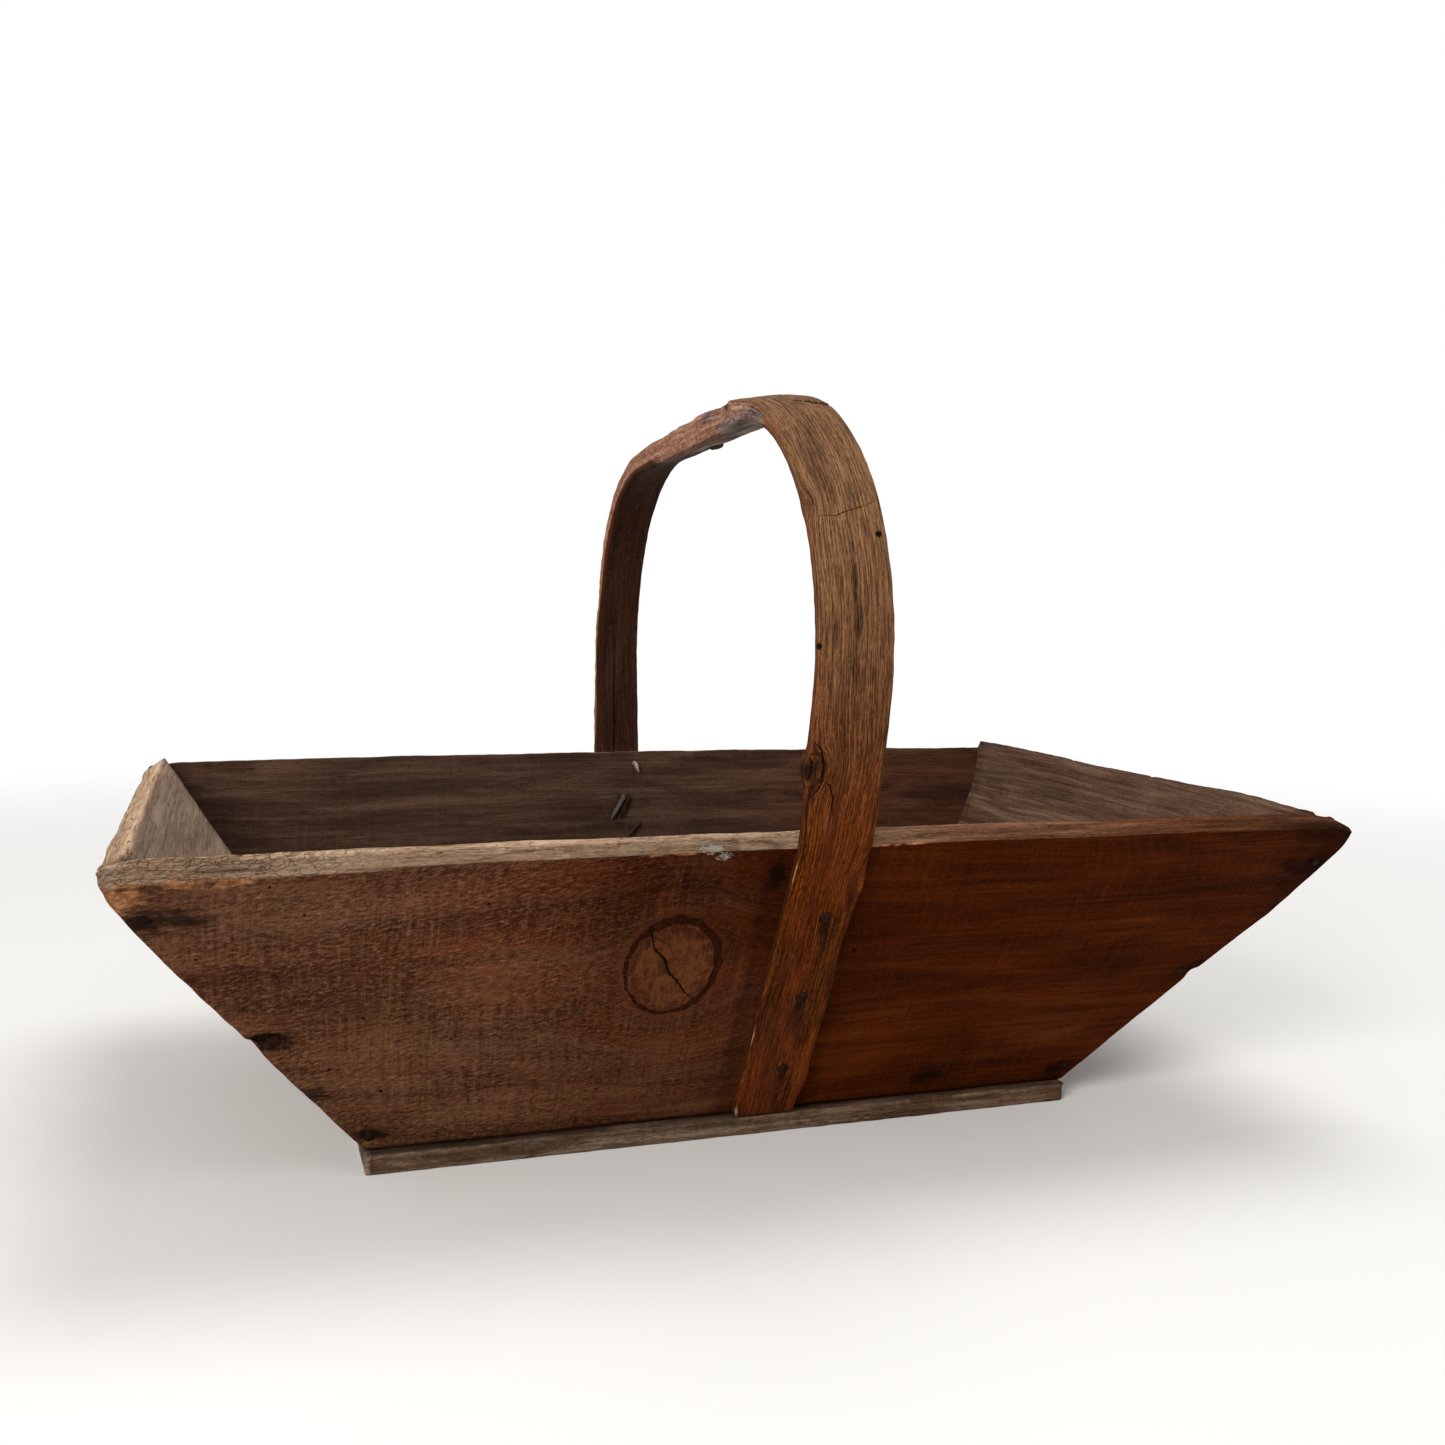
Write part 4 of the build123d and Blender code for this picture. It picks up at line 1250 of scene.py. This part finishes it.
    def carve(self):
        """Moves the skin in and out: unevenness, bark, cracks, seats of the nails, bumps."""
        push = 0.12 * self.noise((26.0, 2.2, 9.0), 47) - 0.35 * self.edge * np.abs(self.noise(11.0, 43))
        push -= 0.3 * (0.5 + 0.5 * self.noise((40.0, 9.0, 9.0), 42))
        push += self.bark * (0.5 * self.noise((16.0, 7.0, 7.0), 44) + 0.4 * self.noise(5.0, 45) - 0.2)
        torn = self.crack(self.outer, TOP_CRACK, 1.2)
        from_crack = self.fields["crack"]
        lifted = smooth(0, 1.2, from_crack) * np.exp(-np.abs(from_crack) / 2.5) * (from_crack < 8)
        lifted *= torn.max()
        push += 0.2 * lifted * self.outer - 0.9 * torn
        push -= 0.15 * self.crack(self.outer, CROSS_HAIRLINE, 0.17)
        push -= 0.4 * self.crack(self.inner, FAR_LEG_CRACK, 0.55)
        for path in KNOT_CURLS:
            push -= 0.5 * self.crack(self.outer, path, 0.36)
        self.hollow = np.hypot((self.along - BELLY_HOLE[0]) / 6.0, (self.across_mm - BELLY_HOLE[1]) / 4.0)
        push += (1.5 * fade(0.5, 1.1, self.hollow) - 1.2 * fade(0.0, 0.5, self.hollow)) * self.inner
        for at, aside in self.heads:
            push -= 0.55 * fade(2.6, 5.5, np.hypot(self.along - at, self.across_mm - aside)) * self.outer
        self.points += normals_of(self.points, self.quads[:, ::-1]) * push[:, None]
        low = np.exp(-((self.across + 0.62) / 0.4) ** 2) * self.inner
        hanging = low * smooth(0.39, 0.43, self.bow) * fade(0.6, 0.85, self.bow)
        self.points -= self.out_axis * (2.2 * hanging)[:, None]
        for at, side, long, wide, high, proud in STRAP_BUMPS:
            swell = np.exp(-((self.along - at) / long) ** 2 * 2 - ((self.across - side) / wide) ** 2)
            self.points -= self.left_axis * (swell * high * side)[:, None]
            self.points += self.out_axis * (swell * proud * self.depth / self.tall)[:, None]

    def colour(self):
        along, across, outer, inner, bark, fields = (
            self.along, self.across, self.outer, self.inner, self.bark, self.fields
        )
        fields["inside"] = smooth(0.45, 0.75, self.into / STRAP_THICKNESS)
        # Paler from the front rim up over the bow: partly faded wood, partly painted light from above, and a
        # little painted reflection on the underside
        faded_and_lit_bow = smooth(SIDE_SLOPE - 5, SIDE_SLOPE + 125, along) * fade(0.6, 0.9, self.bow)
        fields["faded_and_lit"] = faded_and_lit_bow * (1 - 0.85 * inner)
        fields["rim"] = bark
        fields["dull"] = smooth(-0.35, 0.35, self.noise((22.0, 9.0, 9.0), 48)) * fade(420, 520, along)
        low_arris = np.exp(-(1 + across) * STRAP_WIDTH / 1.2) * (0.6 + 0.6 * self.noise(18.0, 49)) * outer
        worn = self.edge * 0.45 * (0.5 + 0.5 * self.noise(25.0, 46)) * smooth(110, 300, along)
        fields["worn"] = np.maximum(worn, 0.8 * low_arris * fade(130, 170, along))
        patchy = 0.7 + 0.4 * self.noise((30, 8, 8), 50)
        # Pale on the underside near the top: painted sheen
        underside_sheen = inner * smooth(345, 375, along) * fade(455, 520, along) * patchy
        chip = ellipses(along, self.across_mm, STRAP_CHIP) * outer
        fields["pale"] = np.maximum(0.8 * underside_sheen * (1 - bark), chip)
        ruddy = 0.5 * fade(-0.97, -0.8, across) * smooth(150, 200, along) * (1 - bark)
        fields["warm"] = np.maximum(ruddy, 0.6 * fade(60, 260, along))
        rust = [(at - 4.5, aside, 7.0, 2.5, 0.95) for at, aside in self.heads]
        fields.add("stain", ellipses(along, self.across_mm, [*rust, *STRAP_STAINS]) * outer)
        fields.add("stain", 1.4 * fade(0.9, 1.5, self.hollow) * (self.into > 1.8))
        # Darker on the belly's underside, and painted shade at the front foot where it stands on the ledge
        fields.add("grime_and_shade", ellipses(along, self.across_mm, BELLY_GREY) * inner, 0.5 * fade(0, 4, along))
        fields["fuzz"] = ellipses(along, self.across_mm, STRAP_FUZZ) * outer
        fields["grain"] = np.stack([along, self.across_mm, self.into], axis=1)


strap_wood = wood(
    "strap_wood", STRAP_OUTER, STRAP_INNER, BARK, 6, pith=(0.0, 6.0), ring_gap=2.2,
    figure=(0.1, 0.25, 0.5, 0.5), pore_lights=(PORE_LIGHT, FADED_AND_LIT_PORE_LIGHT), fine=1.4, sway=6.0,
    knots=STRAP_KNOTS, knot_light=STRAP_KNOT_LIGHT, holes=STRAP_HOLES, checks=0.4, roughness=0.6,
    specular=0.012, faded_and_lit=STRAP_FADED_AND_LIT, dull_rim=OLD_BARK,
)
strap = Strap()
strap.find_bark()
strap.carve()
strap.colour()
add_piece(
    "handle_strap", strap.points, strap.quads, strap.flat, strap.fields, strap_wood, "handle",
    mirrored=True,
)


# Nails

class Nail:
    """A nail with its head let in. entry is where its axis meets the face, and aim a point on the axis."""

    def __init__(self, entry, normal, aim, length=0.0, clinch=None, bright=0.0):
        self.axis = unit(aim - entry)
        tilt = np.arccos(np.clip(-self.axis @ normal, -1, 1))
        self.seat = entry + self.axis * (HEAD_THICKNESS + HEAD_RADIUS * tan(tilt))
        self.length = length
        self.clinch = clinch
        self.bright = bright

    def shank(self):
        """Points from the head's underside to the tip."""
        if self.clinch is None:
            return np.array([self.seat, self.seat + self.axis * self.length])
        bend, end = self.clinch
        tip = end + unit(end - bend) * POINT_LENGTH
        return rounded_path([self.seat, bend, tip], [CLINCH_RADIUS], step=0.9)[1]


# Height over the seat and radius, both of the head's
HEAD_RINGS = (
    (1.14, 0.12), (1.12, 0.36), (1.05, 0.62), (0.86, 0.86), (0.55, 0.99), (0.2, 0.97), (0.0, 0.84), (0.0, 0.5),
)
AROUND = 20
SQUARE = ((0, 0), (1, 0), (1, 1), (0, 1))


def nail_rings(nail, seed):
    """Rings of a forged nail: a hammered head, a squarish shank and a drawn-out point."""
    rng = np.random.default_rng(seed)
    turn = np.linspace(0, 2 * pi, AROUND, endpoint=False)
    path = nail.shank()
    run = run_along(path)
    stops = np.linspace(0.4, run[-1], max(8, ceil(run[-1] / 1.2)))
    centres = follow(stops, run, path)
    lump = 1 + 0.05 * np.sin(turn * 2 + rng.uniform(0, 6)) + 0.04 * np.sin(turn * 5 + rng.uniform(0, 6))
    dish = rng.normal(0, 0.05, AROUND)

    def ring(centre, way, radius):
        other = np.cross(way, side)
        return centre + radius[:, None] * (np.cos(turn)[:, None] * side + np.sin(turn)[:, None] * other)

    rings = []
    side = unit(np.cross(nail.axis, (0.31, 0.93, 0.17)))
    for high, wide in HEAD_RINGS:
        level = HEAD_THICKNESS * high + dish * wide * (1 - wide) * 4
        radius = HEAD_RADIUS * wide * (1 + (lump - 1) * wide)
        rings.append(ring(nail.seat - nail.axis * level[:, None], nail.axis, radius))
    square = 1 / np.maximum(np.abs(np.cos(turn)), np.abs(np.sin(turn))) ** 0.6
    for centre, way, stop in zip(centres, unit(np.gradient(centres, axis=0)), stops):
        side = unit(side - way * (side @ way))
        narrow = min(1.0, 0.14 + 0.86 * (run[-1] - stop) / POINT_LENGTH)
        radius = SHANK_RADIUS * 0.92 * narrow * square * (1 + 0.04 * np.sin(stop * 1.7))
        rings.append(ring(centre, way, radius))
    return rings


def nail_mesh(nail, seed):
    """Points, quads and flat map of a nail."""
    rings = nail_rings(nail, seed)
    quads, flat = [], []
    for row, k in product(range(len(rings) - 1), range(AROUND)):
        quads.append([(row + down) * AROUND + (k + aside) % AROUND for aside, down in SQUARE])
        flat += [(k + aside, row + down) for aside, down in SQUARE]
    last = (len(rings) - 1) * AROUND
    for k in range(AROUND // 2 - 1):
        across = [k, k + 1, AROUND - 2 - k, AROUND - 1 - k]
        quads += [across[::-1], [last + i for i in across]]
        flat += [(i % 5, -1.5 - i // 5) for i in across[::-1]] + [(i % 5 + 8, -1.5 - i // 5) for i in across]
    return np.concatenate(rings), np.array(quads), np.array(flat, float)


def add_nails(name, node, nails, seed):
    points, quads, maps, bright, count = [], [], [], [], 0
    for k, nail in enumerate(nails):
        p, q, flat = nail_mesh(nail, seed * 10 + k)
        points.append(settle(p, node))
        quads.append(q + count)
        maps.append(flat - flat.min(axis=0) + (k * (AROUND + 2), 0))
        bright.append(np.where(np.arange(len(p)) < len(HEAD_RINGS) * AROUND, 0.0, nail.bright))
        count += len(p)
    points, quads, flat = (np.concatenate(parts) for parts in (points, quads, maps))
    fields = {"bright": np.concatenate(bright), "grain": points}
    add_piece(name, points, quads, flat / flat.max(), fields, iron, node, mirrored=True)


def old_iron():
    tree = Tree(bpy.data.materials.new("old_iron"))
    place = tree.place(*tree.grain())
    pits = tree.noise(tree.vector("MULTIPLY", place, (1.3, 1.3, 1.3)), 4.0, 0.7)
    patch = tree.noise(tree.vector("MULTIPLY", place, (0.35, 0.35, 0.35)), 3.0, 0.6)
    colour = tree.mix(patch.rise(0.42, 0.58), IRON_DARK, IRON_RUST)
    colour = tree.mix(pits.rise(0.52, 0.66) * 0.6, colour, IRON_WORN)
    bright = tree.field("bright") * pits.rise(0.3, 0.5)
    colour = tree.mix(bright, colour, IRON_BRIGHT)
    return tree.finish(colour, pits * 0.4 + 0.45, pits * 0.4, metallic=bright * 0.6, specular=0.03)


def strap_nails(face, thickness, rows):
    nails = []
    wall = SIDES[face]
    for across, up, out_across, out_up, tip, direction, bright in rows:
        entry = wall.at(STRAP_OFFSET + across * STRAP_WIDTH, up * SIDE_SLOPE, thickness)
        out = wall.at(STRAP_OFFSET + out_across * STRAP_WIDTH, out_up * SIDE_SLOPE, -SIDE_THICKNESS)
        bend = out + unit(out - entry) * CLINCH_RADIUS
        down = -wall.up * cos(radians(direction)) - np.array((sin(radians(direction)), 0, 0))
        clinch = (bend, bend + down * tip * STRAP_WIDTH)
        nails.append(Nail(entry, wall.out, out, clinch=clinch, bright=bright))
    return nails


def corner_nails(side, end):
    wall, into = SIDES[side], ENDS[end]
    aim = -wall.out + into.out * (wall.out @ into.out)
    entries = [wall.at(end * x, up) for x, up in NAIL_PLACES]
    return [Nail(entry, wall.out, entry + aim, CORNER_NAIL_LENGTH) for entry in entries]


def base_nails(wall, thickness, lean, half_run, shares):
    level = np.array((1, 1, 0))
    inset = thickness / 2 / cos(lean) + BASE_THICKNESS * tan(lean)
    middle = wall.origin * level - unit(wall.out * level) * inset
    entries = [middle + wall.along * share * half_run for share in shares]
    return [Nail(entry, np.array((0, 0, -1.0)), entry + wall.up, BASE_NAIL_LENGTH) for entry in entries]


iron = old_iron()
front_row = strap_nails(FRONT, STRAP_THICKNESS, FRONT_STRAP_NAILS)
back_row = strap_nails(BACK, BACK_LEG_THICKNESS, BACK_STRAP_NAILS)
add_nails("front_strap_nails", "front_handle_nails", front_row, 1)
add_nails("back_strap_nails", "back_handle_nails", back_row, 2)
add_nails("rim_nail", "back_rim_nail", strap_nails(BACK, BACK_LEG_THICKNESS, RIM_NAIL), 3)
for side, side_name in ((FRONT, "front"), (BACK, "back")):
    for end, end_name in ((LEFT, "left"), (RIGHT, "right")):
        name = f"{side_name}_{end_name}"
        add_nails(name + "_nails", name + "_corner_nails", corner_nails(side, end), 5 + side + 3 * end)
    run = base_nails(SIDES[side], SIDE_THICKNESS, SIDE_LEAN, BASE_LENGTH / 2, BASE_SIDE_NAIL_SHARES)
    add_nails(f"{side_name}_foot_nails", f"base_{side_name}_nails", run, 20 + side)
for end, end_name in ((LEFT, "left"), (RIGHT, "right")):
    run = base_nails(ENDS[end], END_THICKNESS, END_LEAN, FLOOR_WIDTH / 2, BASE_END_NAIL_SHARES)
    add_nails(f"{end_name}_foot_nails", f"base_{end_name}_nails", run, 30 + end)


# Stage

WHITE = (1.0, 1.0, 1.0, 1.0)
AMBIENT = 0.46


def put(data, place, right, up, ahead):
    """Puts a camera or a light in the scene, looking ahead."""
    thing = bpy.data.objects.new(data.name, data)
    rows = np.transpose((right, up, -ahead, place)).tolist()
    thing.matrix_world = Matrix((*rows, (0, 0, 0, 1)))
    bpy.context.scene.collection.objects.link(thing)
    return thing


def make_camera():
    """Camera found from the photograph's vanishing lines and the trug's corners."""
    eye = np.array((-207.87, -654.02, 222.79)) * MM
    yaw, pitch, roll = (radians(v) for v in (18.882, 4.5515, 0.8788))
    ahead = np.array((sin(yaw) * cos(pitch), cos(yaw) * cos(pitch), -sin(pitch)))
    right = np.array((cos(yaw), -sin(yaw), 0.0))
    up = np.cross(right, ahead)
    data = bpy.data.cameras.new("photo_camera")
    data.sensor_width = 36.0
    data.lens = 1446.85 / 1445 * data.sensor_width
    data.clip_start = 0.01
    right, up = cos(roll) * right + sin(roll) * up, -sin(roll) * right + cos(roll) * up
    bpy.context.scene.camera = put(data, eye, right, up, ahead)


def make_floor():
    """Pale floor that turns white away from the trug for the camera, and keeps the trug's shadow."""
    tree = Tree(bpy.data.materials.new("floor"))
    far = tree.vector("LENGTH", tree.node("ShaderNodeTexCoord", out="Object"))
    shader = tree.nodes["Principled BSDF"]
    shader.inputs["Base Color"].default_value = (0.8, 0.79, 0.77, 1.0)
    shader.inputs["Roughness"].default_value = 0.9
    shader.inputs["Specular IOR Level"].default_value = 0.1
    white = tree.node("ShaderNodeEmission", {"Color": WHITE, "Strength": 1.0})
    pale = Wire(tree, shader.outputs[0])
    both = tree.node("ShaderNodeMixShader", (far.rise(0.45, 1.5) * tree.seen(), pale, white))
    tree.feed(tree.nodes["Material Output"].inputs["Surface"], both)
    spokes, reach = 96, 14.0
    turns = [2 * pi * spoke / spokes for spoke in range(spokes)]
    mesh = bpy.data.meshes.new("floor")
    mesh.from_pydata([(reach * cos(turn), reach * sin(turn), 0.0) for turn in turns], [], [range(spokes)])
    mesh.materials.append(tree.owner)
    floor = bpy.data.objects.new("floor", mesh)
    bpy.context.scene.collection.objects.link(floor)


def make_light(name, place, aim, size, power, colour):
    data = bpy.data.lights.new(name, "AREA")
    data.shape = "DISK"
    data.size = size
    data.energy = power
    data.color = colour
    ahead = unit(np.subtract(aim, place))
    right = unit(np.cross(ahead, (0, 0, 1)))
    put(data, place, right, np.cross(right, ahead), ahead)


def make_world():
    """Soft light from all round, and white where the camera looks past the trug."""
    world = bpy.data.worlds.new("studio")
    tree = Tree(world)
    background = tree.nodes["Background"]
    background.inputs["Color"].default_value = WHITE
    tree.feed(background.inputs["Strength"], tree.seen() * (1.0 - AMBIENT) + AMBIENT)
    bpy.context.scene.world = world


make_camera()
make_floor()
make_light("key", (-1.35, -1.35, 1.0), (-0.05, -0.03, 0.1), 1.0, 36.0, (1.0, 0.985, 0.96))
make_light("top", (0.35, 0.35, 1.8), (0.0, 0.0, 0.1), 1.2, 16.0, (1.0, 0.995, 0.98))
make_light("fill", (1.5, -1.2, 0.9), (0.0, 0.0, 0.1), 1.2, 6.0, (1.0, 0.99, 0.98))
make_world()
bpy.context.scene.view_settings.view_transform = "Standard"
